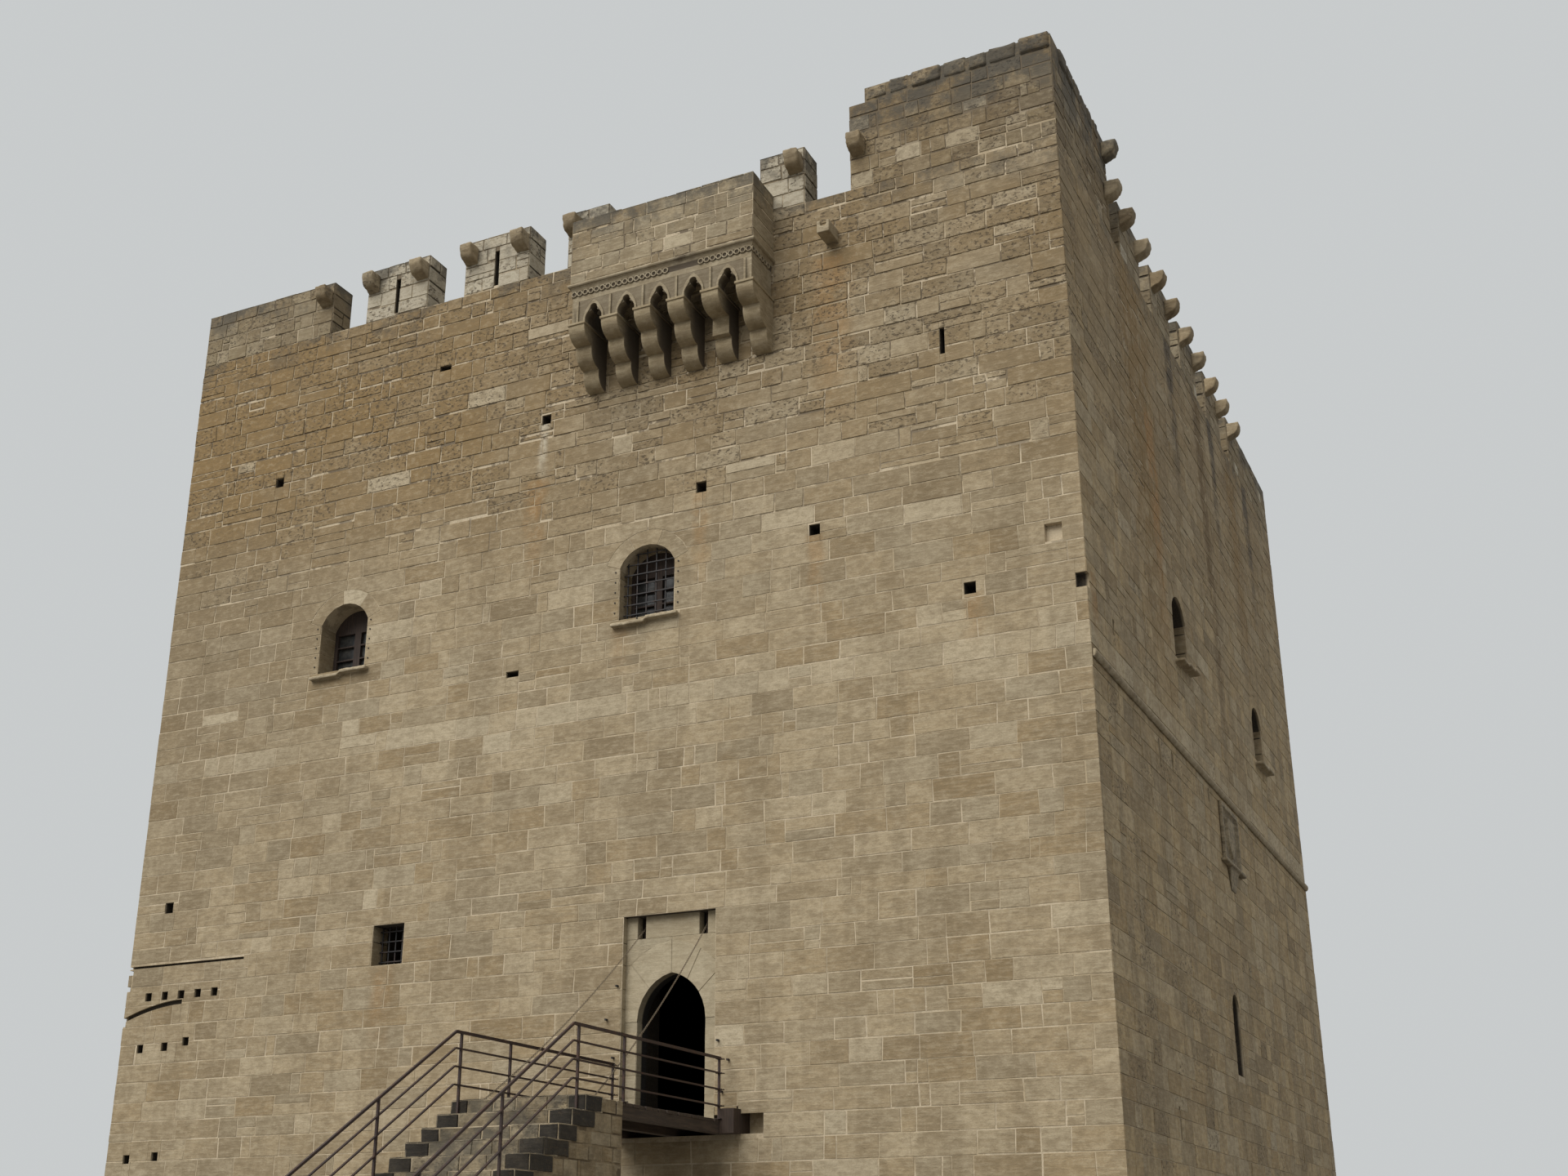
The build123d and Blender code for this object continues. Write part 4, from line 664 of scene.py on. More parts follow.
side = east(HALF)
lancet = Arch(LANCET, LANCET_HALF, LANCET_LOW, LANCET_SPRING, LANCET_HALF, LANCET_RING)
facing = side_facing(side, SIDE_WINDOWS, HALF, 23, [lancet])
lancet.voussoirs(facing, side, (-1, -0.4, 0.4, 1))
for spot in LOOPS:
    gap(facing, side, spot, LOOP, LOOP_HEIGHT)
for spot in SHORT_LOOPS:
    gap(facing, side, spot, LOOP, SHORT_LOOP)
facing.cut(side, -HALF - WRAP, -HALF + NOTCH_DEPTH, *CORNER_GAP[1:])
dress("east_facing", facing, side_stone, "wall_stone")
back, back_side = north(HALF), west(-HALF)
dress("back_facing", side_facing(back, FRONT_WINDOWS, HALF + WRAP, 37), side_stone, "wall_stone")
facing = side_facing(back_side, SIDE_WINDOWS, HALF, 41)
for level, width in NOTCHES:
    facing.cut(back_side, HALF - NOTCH_DEPTH, HALF + WRAP, level, level + NOTCH_HEIGHT)
facing.cut(back_side, HALF - GROOVE_DEPTH, HALF + WRAP, *GROOVE[1:])
facing.cut(back_side, HALF - GROOVE_DEPTH, HALF + WRAP, worn_line(-HALF), worn_line(-HALF) + WORN_HEIGHT)
dress("west_facing", facing, side_stone, "wall_stone")

# The windows: dressed limestone lines the reveals. The arched ones are closed by
# timber casements with glass, set back in the wall; the square one has a grille only.
REVEAL = 0.42


def timber(name, colour, pale, along):
    """Old wood with its grain along one axis."""
    paint = Paint(name, roughness=0.8)
    grain = paint.noise(2.2, 8.0, 0.7, stretch=tuple(1 if axis == along else 14 for axis in "xyz"))
    mixed = paint.mix(paint.step(grain, 0.38, 0.66), colour, pale)
    mixed = paint.mix(paint.step(paint.noise(1.5), 0.4, 0.7, 0.5), mixed, colour)
    return paint.finish(mixed, grain, 0.004, 0.7)


def finish(material, *nodes):
    """Gives CAD nodes that show a finish of their own."""
    for node in nodes:
        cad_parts[node].data.materials[0] = material


def jambs(work, wall, centre, half, low, high, depth, **look):
    """Reveal stones on both sides of an opening."""
    outward = wall.along.cross(wall.up)
    for side, start, end in ((-1, 0.0, depth), (1, -depth, 0.0)):
        jamb = Patch(point(wall, centre + side * half, 0), outward * side, wall.up)
        work.lay(jamb, courses(low, high), start, end, (), (0.5, 0.9), **look)


casement_timber = timber("casement_timber", (0.020, 0.012, 0.009), (0.052, 0.032, 0.023), "z")
# The glass is painted near black as the shade of the room behind it, with paler patches of dust.
pane = Paint("window_pane", roughness=0.18)
dust = pane.step(pane.noise(6.0), 0.4, 0.75)
glass_pane = pane.finish(pane.mix(dust, (0.022, 0.024, 0.026), (0.070, 0.070, 0.066)))
finish(casement_timber, "window_casements")
finish(glass_pane, "window_glass")
work = Stonework(seed=43)
for wall, places in zip((front, side, back, back_side), (FRONT_WINDOWS, SIDE_WINDOWS) * 2):
    for u in places:
        jambs(work, wall, u, WINDOW_HALF, SILL_LEVEL + 0.02, WINDOW_SPRING, REVEAL, proud=0.006)
square_half = (square_high.x - square_low.x) / 2
jambs(work, front, square_low.x + square_half, square_half, square_low.z, square_high.z, REVEAL, proud=0.006)
dress("window_jambs", work, front_stone, "wall_stone")

# The door: a fine-jointed panel of limestone, a little set back, with a ring of
# long voussoirs over a pointed arch. Two slots above it held the timber arms that
# lifted the bridge.
DOOR_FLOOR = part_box("door_threshold")[1].z
DOOR_X = (PANEL_LOW.x + PANEL_HIGH.x) / 2
DOOR_HALF, DOOR_SPRING, DOOR_RISE, DOOR_RING, DOOR_DEPTH = 0.61, 5.64, 0.75, 0.52, 0.33
PANEL_HEAD = 6.96
SLOT, SLOT_PLAY = 0.15, 0.02
ARMS_LOW, ARMS_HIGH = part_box("lifting_arm_stubs")
FINE = {"joint": 0.010, "proud": 0.004, "age": 0.1}
door_panel = south(PANEL_LOW.y)
door_arch = Arch(DOOR_X, DOOR_HALF, DOOR_FLOOR, DOOR_SPRING, DOOR_RISE, DOOR_RING, pointed=True)
slots = [
    Hole(u - SLOT_PLAY, u + SLOT - SLOT_PLAY, ARMS_LOW.z, PANEL_HIGH.z + 0.1)
    for u in (ARMS_LOW.x, ARMS_HIGH.x - SLOT + 2 * SLOT_PLAY)
]


def behind(y, depth, amount):
    """Shade that starts a little way into an opening of the front."""
    return lambda paint: paint.step(paint.y, y + depth, y + 1.4 * depth, amount)


HIGH_AND_DRY = (30.0, 31.0)
# The inner part of the door's reveal is painted nearly black as shade.
door_stone = limestone(
    "door_limestone", (0.390, 0.340, 0.240), (0.270, 0.220, 0.140), HIGH_AND_DRY,
    shade_layers=[behind(PANEL_LOW.y, 0.13, 1.0)], shade_tone=(0.010, 0.008, 0.006),
)
arm_timber = timber("arm_timber", (0.030, 0.018, 0.012), (0.060, 0.038, 0.026), "z")
finish(door_stone, "door_surround", "door_threshold")
finish(arm_timber, "bridge_post_stub", "lifting_arm_stubs")
work = Stonework(seed=71)
panel_ends, rows = (PANEL_LOW.x, PANEL_HIGH.x), courses(DOOR_FLOOR, PANEL_HEAD)
work.lay(door_panel, rows, *panel_ends, [door_arch], (0.5, 0.9), **FINE)
work.lay(door_panel, [PANEL_HEAD, PANEL_HIGH.z], *panel_ends, slots, (0.9, 1.3), **FINE)
ring = Stonework(seed=72)
RING_LOOK = {"joint": 0.012, "proud": 0.007, "age": 0.1, "tint": 0.25}
door_arch.voussoirs(ring, door_panel, (-1, -0.45, 0, 0.3, 0.58, 1), **RING_LOOK)
for patch, outline, *look in ring.stones:
    kept = [(min(max(u, PANEL_LOW.x + 0.004), PANEL_HIGH.x - 0.004), v) for u, v in outline]
    work.stones.append((patch, kept, *look))
jambs(work, door_panel, DOOR_X, DOOR_HALF, DOOR_FLOOR, DOOR_SPRING, DOOR_DEPTH, **FINE)
panel_half, setback = (PANEL_HIGH.x - PANEL_LOW.x) / 2, PANEL_LOW.y + HALF
jambs(work, front, DOOR_X, panel_half, DOOR_FLOOR, PANEL_HIGH.z, setback, **FINE)
dress("door_panel_facing", work, door_stone, "door_stone", relief=0.003, face_scale=0.992)

# The merlons: blocks of the same limestone, faced with coursed stones on every
# side and closed by worn coping stones. Two in front have an arrow slit.
SLIT_HALF, SLIT_LOW, SLIT_HIGH = 0.040, SILL + 0.06, SILL + 0.84
WIDE_MERLON = 1.2
merlon_stone = limestone(
    "merlon_limestone", (0.235, 0.192, 0.115), weather=(18.0, 25.0), lichen=(20.0, 21.1),
    fresh=(0.560, 0.525, 0.430), pale=(0.400, 0.345, 0.245),
)


def merged(node):
    """The solids of one CAD node, with their doubled corners joined."""
    mesh = bmesh.new()
    mesh.from_mesh(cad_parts[node].data)
    bmesh.ops.remove_doubles(mesh, verts=mesh.verts, dist=1e-4)
    return mesh


def solids(node):
    """Boxes round the separate solids of one CAD node."""
    mesh = merged(node)
    boxes, seen = [], set()
    for first in mesh.verts:
        group, queue = [], [first]
        while queue:
            vert = queue.pop()
            if vert not in seen:
                seen.add(vert)
                group.append(vert.co.copy())
                queue += [edge.other_vert(vert) for edge in vert.link_edges]
        if group:
            boxes.append((Vector(map(min, *group)), Vector(map(max, *group))))
    mesh.free()
    return boxes


def top_along_x(z):
    return flat((0, 0, z), (1, 0, 0), (0, 1, 0))


def top_along_y(z):
    return flat((0, 0, z), (0, 1, 0), (-1, 0, 0))


def faces(work, low, high, sides="snew", holes=None, lengths=(0.3, 0.6), rows=None, **look):
    """Courses on the chosen sides of a block."""
    rows = rows or courses(low.z, high.z)
    patches = {
        "s": (south(low.y), low.x, high.x), "e": (east(high.x), low.y, high.y),
        "n": (north(high.y), -high.x, -low.x), "w": (west(low.x), -high.y, -low.y),
    }
    for key in sides:
        patch, start, end = patches[key]
        work.lay(patch, rows, start, end, (holes or {}).get(key, ()), lengths, **look)


def coping(work, low, high, lift=(0.008, 0.022), length=(0.3, 0.55), joint=0.012):
    """One row of stones along the top of a block, each lifted a little differently."""
    over = 0.01
    if high.x - low.x >= high.y - low.y:
        patch, near, far, start, end = top_along_x(high.z), low.y, high.y, low.x, high.x
    else:
        patch, near, far, start, end = top_along_y(high.z), -high.x, -low.x, low.y, high.y
    first = len(work.stones)
    work.lay(patch, [near - over, far + over], start - over, end + over, (), length, joint, age=0.8)
    for i in range(first, len(work.stones)):
        there, outline, proud, *rest = work.stones[i]
        work.stones[i] = (there, outline, work.dice.uniform(*lift), *rest)


work = Stonework(seed=53, renewed=0.05, wear=0.9)
for low, high in solids("merlons"):
    slits, in_front = {}, low.y < -HALF + 0.1
    if in_front and high.x < 0 and high.x - low.x > WIDE_MERLON:
        middle = (low.x + high.x) / 2
        for key, u in (("s", middle), ("n", -middle)):
            slits[key] = [Hole(u - SLIT_HALF, u + SLIT_HALF, SLIT_LOW, SLIT_HIGH)]
    faces(work, low, high, holes=slits, pale=0.85 if in_front else 0.1)
    coping(work, low, high)
for low, high in solids("corner_merlons"):
    bar_low, bar_high, arm_low, arm_high = low.copy(), high.copy(), low.copy(), high.copy()
    if low.y < -HALF + 0.1:
        bar_high.y = arm_low.y = low.y + PARAPET
    else:
        bar_low.y = arm_high.y = high.y - PARAPET
    if low.x < 0:
        arm_high.x = low.x + PARAPET
    else:
        arm_low.x = high.x - PARAPET
    for block_low, block_high in ((bar_low, bar_high), (arm_low, arm_high)):
        faces(work, block_low, block_high)
        coping(work, block_low, block_high)
dress("merlon_facing", work, merlon_stone, "parapet_stone")

# The roof terrace: limestone flags laid in rows, up to the turret. Coursed stones
# face the inner side of the parapet, with gaps at the turret and the machicolation.
TURRET_LOW, TURRET_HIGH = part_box("stair_turret")
INNER, FLAG = HALF - PARAPET, 0.62
paving_stone = limestone("paving_limestone", (0.270, 0.225, 0.160), weather=HIGH_AND_DRY, lichen=HIGH_AND_DRY)
finish(paving_stone, "roof_terrace", "second_floor", "first_floor", "ground_floor")
work = Stonework(seed=79)
rows = [-INNER + FLAG * i for i in range(int(2 * INNER / FLAG) + 1)]
stairhead = Hole(TURRET_LOW.x, INNER, TURRET_LOW.y, TURRET_HIGH.y)
work.lay(top_along_x(TERRACE), rows, -INNER, INNER, [stairhead], (0.45, 1.0), proud=0.008)
dress("terrace_paving", work, paving_stone, "floor_stone")
work = Stonework(seed=83)
walk = Hole(-BOX_HIGH.x + BOX_WALL, -BOX_LOW.x - BOX_WALL, TERRACE, SILL)
for patch, holes in (
    (north(-INNER), [Hole(-TURRET_HIGH.x, -TURRET_LOW.x, TERRACE, SILL), walk]),
    (south(INNER), []),
    (east(-INNER), []),
    (west(INNER), [Hole(-TURRET_HIGH.y, -TURRET_LOW.y, TERRACE, SILL)]),
):
    work.lay(patch, courses(TERRACE, SILL), -INNER, INNER, holes)
dress("parapet_inner_facing", work, merlon_stone, "parapet_stone")


# Carved limestone built into the walls: the corbels of the merlons, the arms, the
# water spout and the string course. Their edges are worn by an even remesh and by
# noise, and each stone has its own tint.
def wearing():
    """Recipe for worn stone; the noise mostly takes material away."""
    tree = Recipe("worn_stone", wear=0.02, grain=6.0, age=0.5, seed=3, cuts=0)
    given = tree.given
    cut = tree.add("GeometryNodeSubdivideMesh", given["Geometry"], given["cuts"])[0]
    noise = tree.add("ShaderNodeTexNoise", Scale=given["grain"], Detail=5.0, Roughness=0.62)[0]
    moved = tree.pushed(cut, tree.times(tree.math("SUBTRACT", noise, 0.62), given["wear"]))
    island = tree.add("GeometryNodeInputMeshIsland")["Island Index"]
    settings = {"data_type": "FLOAT"}
    chance = tree.add("FunctionNodeRandomValue", ID=island, Seed=given["seed"], settings=settings)[1]
    for key, value in (("tint", tree.blend(chance, 1.2, -0.6)), ("age", given["age"])):
        moved = tree.add("GeometryNodeStoreNamedAttribute", moved, Name=key, Value=value)[0]
    return tree.finish(moved, smooth=True)


WEARING = wearing()


def worn(name, mesh, material, slot, voxel=None, rounding=1, replaced=None, **values):
    obj = piece(name, mesh, slot)
    if voxel:
        even = obj.modifiers.new("even", "REMESH")
        even.mode, even.voxel_size = "VOXEL", voxel
        soften = obj.modifiers.new("edges", "SMOOTH")
        soften.iterations = rounding
    grow(obj, WEARING, material=material, **values)
    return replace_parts(obj, replaced) if replaced else obj


def in_the_panel(paint):
    """Painted shade on the ground of the armorial panel, behind its raised parts."""
    return paint.step(paint.x, HALF + 0.035, HALF + 0.005, 0.85)


carved_stone = limestone("carved_limestone", (0.340, 0.275, 0.180), weather=(18.0, 24.0), lichen=(20.4, 21.4))
arms_stone = limestone(
    "arms_limestone", (0.240, 0.185, 0.105), (0.060, 0.045, 0.028), HIGH_AND_DRY, shade_layers=[in_the_panel],
)
for node, name, material, values in (
    ("merlon_corbels", "worn_merlon_corbels", carved_stone, {"voxel": 0.036, "rounding": 2, "wear": 0.06}),
    ("armorial_panel", "worn_arms", arms_stone, {"voxel": 0.022, "wear": 0.02}),
    ("water_spout", "worn_spout", carved_stone, {"voxel": 0.015, "wear": 0.03}),
    ("string_course", "worn_string_course", carved_stone, {"voxel": 0.032, "wear": 0.04}),
):
    worn(name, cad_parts[node].data.copy(), material, "carved_stone", replaced=node, **values)

# The window sills: moulded slabs of limestone, bedded under the windows, that have
# broken across and sunk by small amounts.
BREAKS = ((0.52,), (0.34, 0.70))
SUNK, CRACK, FASCIA = (0.100, 0.048, 0.0), 0.022, 0.080
sill_stone = limestone("sill_limestone", (0.480, 0.400, 0.280), weather=HIGH_AND_DRY)


def saved(mesh, name):
    data = bpy.data.meshes.new(name)
    mesh.to_mesh(data)
    mesh.free()
    return data


def add_box(mesh, low, high):
    for vert in bmesh.ops.create_cube(mesh, size=1.0)["verts"]:
        vert.co = [(a + b) / 2 + c * (b - a) for a, b, c in zip(low, high, vert.co)]


def broken(node):
    """The solids of a node broken across, each piece sunk a little."""
    whole, spare = bmesh.new(), bpy.data.meshes.new("spare")
    for i, (low, high) in enumerate(sorted(solids(node), key=lambda pair: pair[0].x)):
        axis = 0 if high.x - low.x > high.y - low.y else 1
        shares = (0.0, *BREAKS[i % 2], 1.0)
        bounds = [low[axis] + (high[axis] - low[axis]) * share for share in shares]
        for start, end, drop in zip(bounds, bounds[1:], SUNK):
            part = merged(node)
            spans = [(a - 1e-3, b + 1e-3) for a, b in zip(low, high)]
            others = [v for v in part.verts if any(c < a or c > b for (a, b), c in zip(spans, v.co))]
            bmesh.ops.delete(part, geom=others, context="VERTS")
            for place, way in ((start + CRACK / 2, -1), (end - CRACK / 2, 1)):
                spot, normal = Vector(), Vector()
                spot[axis], normal[axis] = place, way
                cut = {"geom": part.verts[:] + part.edges[:] + part.faces[:], "clear_outer": True}
                bmesh.ops.bisect_plane(part, plane_co=spot, plane_no=normal, **cut)
                bmesh.ops.holes_fill(part, edges=[edge for edge in part.edges if edge.is_boundary])
            edge_low, edge_high = low.copy(), high.copy()
            edge_low.z, edge_low[axis], edge_high[axis] = high.z - FASCIA, start + CRACK / 2, end - CRACK / 2
            add_box(part, edge_low, edge_high)
            bmesh.ops.translate(part, verts=part.verts, vec=(0, 0, -drop))
            part.to_mesh(spare)
            part.free()
            whole.from_mesh(spare)
    return saved(whole, "sill_slabs")


worn(
    "sill_slabs", broken("window_sills"), sill_stone, "carved_stone",
    voxel=0.026, replaced="window_sills", wear=0.05, grain=5.0,
)

# The turret over the stair head: small patched stones of limestone in courses, and
# a top course of separate lichened blocks, of which the first is gone.
ROOF_LOW, ROOF_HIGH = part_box("turret_roof")
MISSING, RIM, RIM_LENGTHS = 0.30, 0.45, (0.34, 0.62)
turret_stone = limestone(
    "turret_limestone", (0.268, 0.211, 0.118), (0.110, 0.080, 0.045), (16.0, 22.0),
    lichen=(20.0, 21.5), pale=(0.400, 0.340, 0.235),
)
finish(turret_stone, "turret_roof")


def split(dice, start, end, lengths, joint):
    """Pieces of uneven length along a line, a joint apart."""
    spots = [start]
    while spots[-1] < end - lengths[1]:
        spots.append(spots[-1] + dice.uniform(*lengths))
    return [(a, b - joint) for a, b in zip(spots, [*spots[1:], end])]


def boxes_mesh(name, boxes, bevel=0.0):
    """One mesh of separate boxes, each given by two corners, with eased edges."""
    mesh = bmesh.new()
    for low, high in boxes:
        add_box(mesh, low, high)
    if bevel:
        bmesh.ops.bevel(mesh, geom=mesh.edges[:], offset=bevel, segments=1, affect="EDGES")
    return saved(mesh, name)


work = Stonework(seed=61, renewed=0.07, wear=0.7)
shaft_low = Vector((TURRET_LOW.x, TURRET_LOW.y, SILL))
shaft_high = Vector((TURRET_HIGH.x, TURRET_HIGH.y, ROOF_LOW.z))
faces(work, shaft_low, shaft_high, lengths=(0.22, 0.64), joint=0.022)
dress("turret_facing", work, turret_stone, "parapet_stone", face_scale=0.975, relief=0.012)
dice = random.Random(63)
blocks = []
x_ends = ROOF_LOW.x + MISSING, ROOF_HIGH.x + 0.02
y_ends = ROOF_LOW.y + RIM, ROOF_HIGH.y - RIM
for edge, outward, ends, turned in (
    (ROOF_LOW.y, -1, x_ends, False), (ROOF_HIGH.y, 1, x_ends, False),
    (ROOF_LOW.x + MISSING, -1, y_ends, True), (ROOF_HIGH.x, 1, y_ends, True),
):
    for a, b in split(dice, *ends, RIM_LENGTHS, 0.03):
        out, top = edge + outward * dice.uniform(0.02, 0.05), ROOF_HIGH.z + dice.uniform(0.0, 0.07)
        near, far = sorted((out, edge - outward * RIM))
        low, high = ((near, a), (far, b)) if turned else ((a, near), (b, far))
        blocks.append(((*low, ROOF_LOW.z + 0.01), (*high, top)))
rim = boxes_mesh("turret_rim", blocks, bevel=0.035)
worn("turret_rim", rim, turret_stone, "parapet_stone", cuts=2, wear=0.09, grain=3.5, age=0.8)

# The machicolation, a stone box over the door: carved corbels, arches and a cornice
# carry coursed walls under a coping. Interlaced rings lie in the hollow of the
# cornice, broken off in one place.
BAND_LEVEL = 18.665
BOX_STAINS = (
    Stain(1.62, 20.15, 0.75, 0.14, 0.70, SOOT_AND_SHADE),
    Stain(3.72, 20.15, 0.30, 0.16, 0.70, SOOT_AND_SHADE),
    Stain(1.05, 20.20, 0.45, 0.35, 0.45, SOOT_AND_SHADE),
    Stain(2.40, 20.20, 0.35, 0.40, 0.40, SOOT_AND_SHADE),
)


def painted_shade_behind(start, end, amount, cheeks=False):
    """Painted shade that deepens inwards from the face of the box; on cheeks it leaves the fronts."""
    middle = (BOX_LOW.x + BOX_HIGH.x) / 2

    def layer(paint):
        across = paint.apart(paint.x, middle)
        inside = paint.step(across, BOX_HIGH.x - middle - 0.04, BOX_HIGH.x - middle - 0.16)
        if cheeks:
            sideways = paint.math("ABSOLUTE", paint.add("ShaderNodeSeparateXYZ", paint.normal)[0])
            inside = paint.times(inside, paint.step(sideways, 0.35, 0.85))
        depth = paint.step(paint.y, BOX_LOW.y + start, BOX_LOW.y + end, amount)
        return paint.times(depth, inside)

    return layer


def painted_hollow_shade(paint):
    """Painted shade behind the rings, in the hollow of the cornice."""
    above = paint.step(paint.z, BAND_LEVEL - 0.060, BAND_LEVEL - 0.045, 0.90)
    return paint.times(above, paint.step(paint.z, BAND_LEVEL + 0.062, BAND_LEVEL + 0.045))


def eased_node(node, name, material, slot, width):
    """A merged copy of a CAD node with its sharp edges eased."""
    mesh = merged(node)
    bmesh.ops.dissolve_limit(mesh, angle_limit=0.01, verts=mesh.verts, edges=mesh.edges)
    data = saved(mesh, name)
    data.shade_smooth()
    data.set_sharp_from_angle(angle=math.radians(28))
    obj = piece(name, data, slot, material)
    bevel = obj.modifiers.new("eased", "BEVEL")
    bevel.width, bevel.segments, bevel.limit_method = width, 1, "ANGLE"
    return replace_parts(obj, node)


# Painted shade on the cheeks of the corbels and in the recesses of the arcade.
corbel_stone = limestone(
    "corbel_limestone", (0.400, 0.310, 0.175), weather=(20.0, 24.0),
    shade_layers=[painted_shade_behind(0.05, 0.50, 0.90, cheeks=True)],
)
arcade_stone = limestone(
    "arcade_limestone", (0.345, 0.285, 0.185), weather=(20.0, 24.0),
    shade_layers=[painted_shade_behind(0.022, 0.036, 0.40), painted_shade_behind(0.06, 0.18, 0.85)],
)
cornice_stone = limestone(
    "cornice_limestone", (0.360, 0.300, 0.200), weather=(20.0, 24.0),
    shade_layers=[painted_hollow_shade], stains=[Stain(2.59, 18.84, 0.30, 0.40, 0.85, SOOT_AND_SHADE)],
)
eased_node("machicolation_corbels", "carved_corbels", corbel_stone, "machicolation_stone", 0.007)
eased_node("machicolation_arches", "carved_arches", arcade_stone, "machicolation_stone", 0.006)
eased_node("machicolation_cornice", "carved_cornice", cornice_stone, "machicolation_stone", 0.006)

box_stone = limestone(
    "box_limestone", (0.330, 0.275, 0.180), weather=(20.0, 24.0), lichen=(19.1, 20.3), stains=BOX_STAINS,
)
ring_stone = limestone("ring_limestone", (0.470, 0.410, 0.300), weather=(20.0, 24.0))
BOX_ROWS = [BOX_LOW.z, 19.05, 19.34, 19.62, 19.93, BOX_HIGH.z]
work = Stonework(seed=67, renewed=0.04, wear=0.35)
faces(work, BOX_LOW, BOX_HIGH, "sew", lengths=(0.28, 0.85), rows=BOX_ROWS)
for low, high in (
    (BOX_LOW, Vector((BOX_HIGH.x, BOX_LOW.y + BOX_WALL, BOX_HIGH.z))),
    (Vector((BOX_HIGH.x - BOX_WALL, BOX_LOW.y + BOX_WALL, BOX_LOW.z)), BOX_HIGH),
    (BOX_LOW + Vector((0, BOX_WALL, 0)), Vector((BOX_LOW.x + BOX_WALL, BOX_HIGH.y, BOX_HIGH.z))),
):
    coping(work, low, high, lift=(0.006, 0.03))
dress("machicolation_facing", work, box_stone, "machicolation_stone")


def ringing():
    """Recipe for rings: a small torus on each point, turned to the way it faces."""
    tree = Recipe("rings", ring=0.045, roll=0.012, around=16, sides=6)
    given = tree.given
    loop = tree.add("GeometryNodeCurvePrimitiveCircle", Radius=given["ring"], Resolution=given["around"])[0]
    section = tree.add("GeometryNodeCurvePrimitiveCircle", Radius=given["roll"], Resolution=given["sides"])[0]
    tube = tree.add("GeometryNodeCurveToMesh", loop, section)[0]
    way = tree.attribute("facing", "FLOAT_VECTOR")
    turn = tree.add("FunctionNodeAlignRotationToVector", Vector=way)[0]
    rings = tree.add("GeometryNodeInstanceOnPoints", given["Geometry"], Instance=tube, Rotation=turn)[0]
    return tree.finish(rings, smooth=True)


RINGING = ringing()


def rings(name, places, material, slot, **values):
    """Rings on points, each with the direction it faces."""
    mesh = bpy.data.meshes.new(name)
    mesh.from_pydata([spot for spot, way in places], [], [])
    facing = mesh.attributes.new("facing", "FLOAT_VECTOR", "POINT")
    facing.data.foreach_set("vector", [number for spot, way in places for number in way])
    return grow(piece(name, mesh, slot), RINGING, material=material, **values)


BAND_PITCH, BAND_SETBACK, BAND_END = 0.118, 0.028, 0.075
BROKEN_BAND = (2.30, 2.88)
dice = random.Random(5)
places = []
for i in range(int((BOX_HIGH.x - BOX_LOW.x - 2 * BAND_END) / BAND_PITCH) + 1):
    x = BOX_LOW.x + BAND_END + i * BAND_PITCH
    if not BROKEN_BAND[0] < x < BROKEN_BAND[1] or dice.random() < 0.15:
        places.append((Vector((x, BOX_LOW.y + BAND_SETBACK, BAND_LEVEL)), Vector((0, -1, 0))))
for x, way in ((BOX_LOW.x + BAND_SETBACK, -1), (BOX_HIGH.x - BAND_SETBACK, 1)):
    for i in range(int((BOX_HIGH.y - BOX_LOW.y - BAND_END) / BAND_PITCH)):
        y = BOX_LOW.y + BAND_END + i * BAND_PITCH
        places.append((Vector((x, y, BAND_LEVEL)), Vector((way, 0, 0))))
rings("ring_band", places, ring_stone, "machicolation_stone", ring=0.048, roll=0.014)

# The stair: dressed limestone steps with dark rough ends, on a core of paler
# rubble in dark mortar.
CORE_LOW, CORE_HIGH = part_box("stair_core")
STEPS = sorted(solids("stair_steps"), key=lambda pair: pair[0].z)
END_BLOCK = (0.34, 0.56)
WHOLE = {"lengths": (9, 9), "joint": 0.016, "proud": 0.02}
step_stone = limestone(
    "step_limestone", (0.290, 0.238, 0.150), (0.072, 0.056, 0.036), HIGH_AND_DRY,
    cover=0.80, pale=(0.400, 0.340, 0.235),
)
end_stone = limestone(
    "step_end_limestone", (0.030, 0.025, 0.018), (0.012, 0.010, 0.008), HIGH_AND_DRY,
    pale=(0.065, 0.053, 0.037),
)
rubble_stone = limestone(
    "rubble_limestone", (0.350, 0.275, 0.165), (0.130, 0.100, 0.060), HIGH_AND_DRY, cover=0.30,
)
stair_mortar = mortar("stair_mortar", (0.110, 0.082, 0.050))
finish(stair_mortar, "stair_core")
blocks, ends = Stonework(seed=89, wear=0.6), Stonework(seed=90, wear=0.8)
rubble = Stonework(seed=91, wear=0.4)
slump = [0.0] + [rubble.dice.uniform(-0.05, 0.0) for step in STEPS[1:]] + [0.0]
for i, (low, high) in enumerate(STEPS):
    corner = ends.dice.uniform(0.25, 0.5)
    rise, riser = [low.z, high.z], south(low.y)
    span = low.x + corner, high.x - corner
    blocks.lay(riser, rise, *span, (), (0.4, 0.9), joint=0.016, proud=0.014)
    for start in (low.x, high.x - corner):
        ends.lay(riser, rise, start, start + corner, **WHOLE)
    coping(blocks, low, high, lift=(0.004, 0.014), length=(0.5, 0.95), joint=0.014)
    for patch, way in ((east(CORE_HIGH.x), 1), (west(CORE_LOW.x), -1)):
        reach = ends.dice.uniform(*END_BLOCK)
        span = sorted((way * low.y, way * (low.y + reach)))
        ends.lay(patch, rise, *span, **WHOLE)
        span = sorted((way * (low.y + reach), way * CORE_HIGH.y))
        bed = [low.z + slump[i], high.z + slump[i + 1]]
        rubble.lay(patch, bed, *span, (), (0.16, 0.52), joint=0.026, age=rubble.dice.uniform(0.1, 0.7))
beds = [low.z for low, high in STEPS]
rubble.lay(north(CORE_HIGH.y), beds, -CORE_HIGH.x, -CORE_LOW.x, (), (0.16, 0.5), joint=0.026)
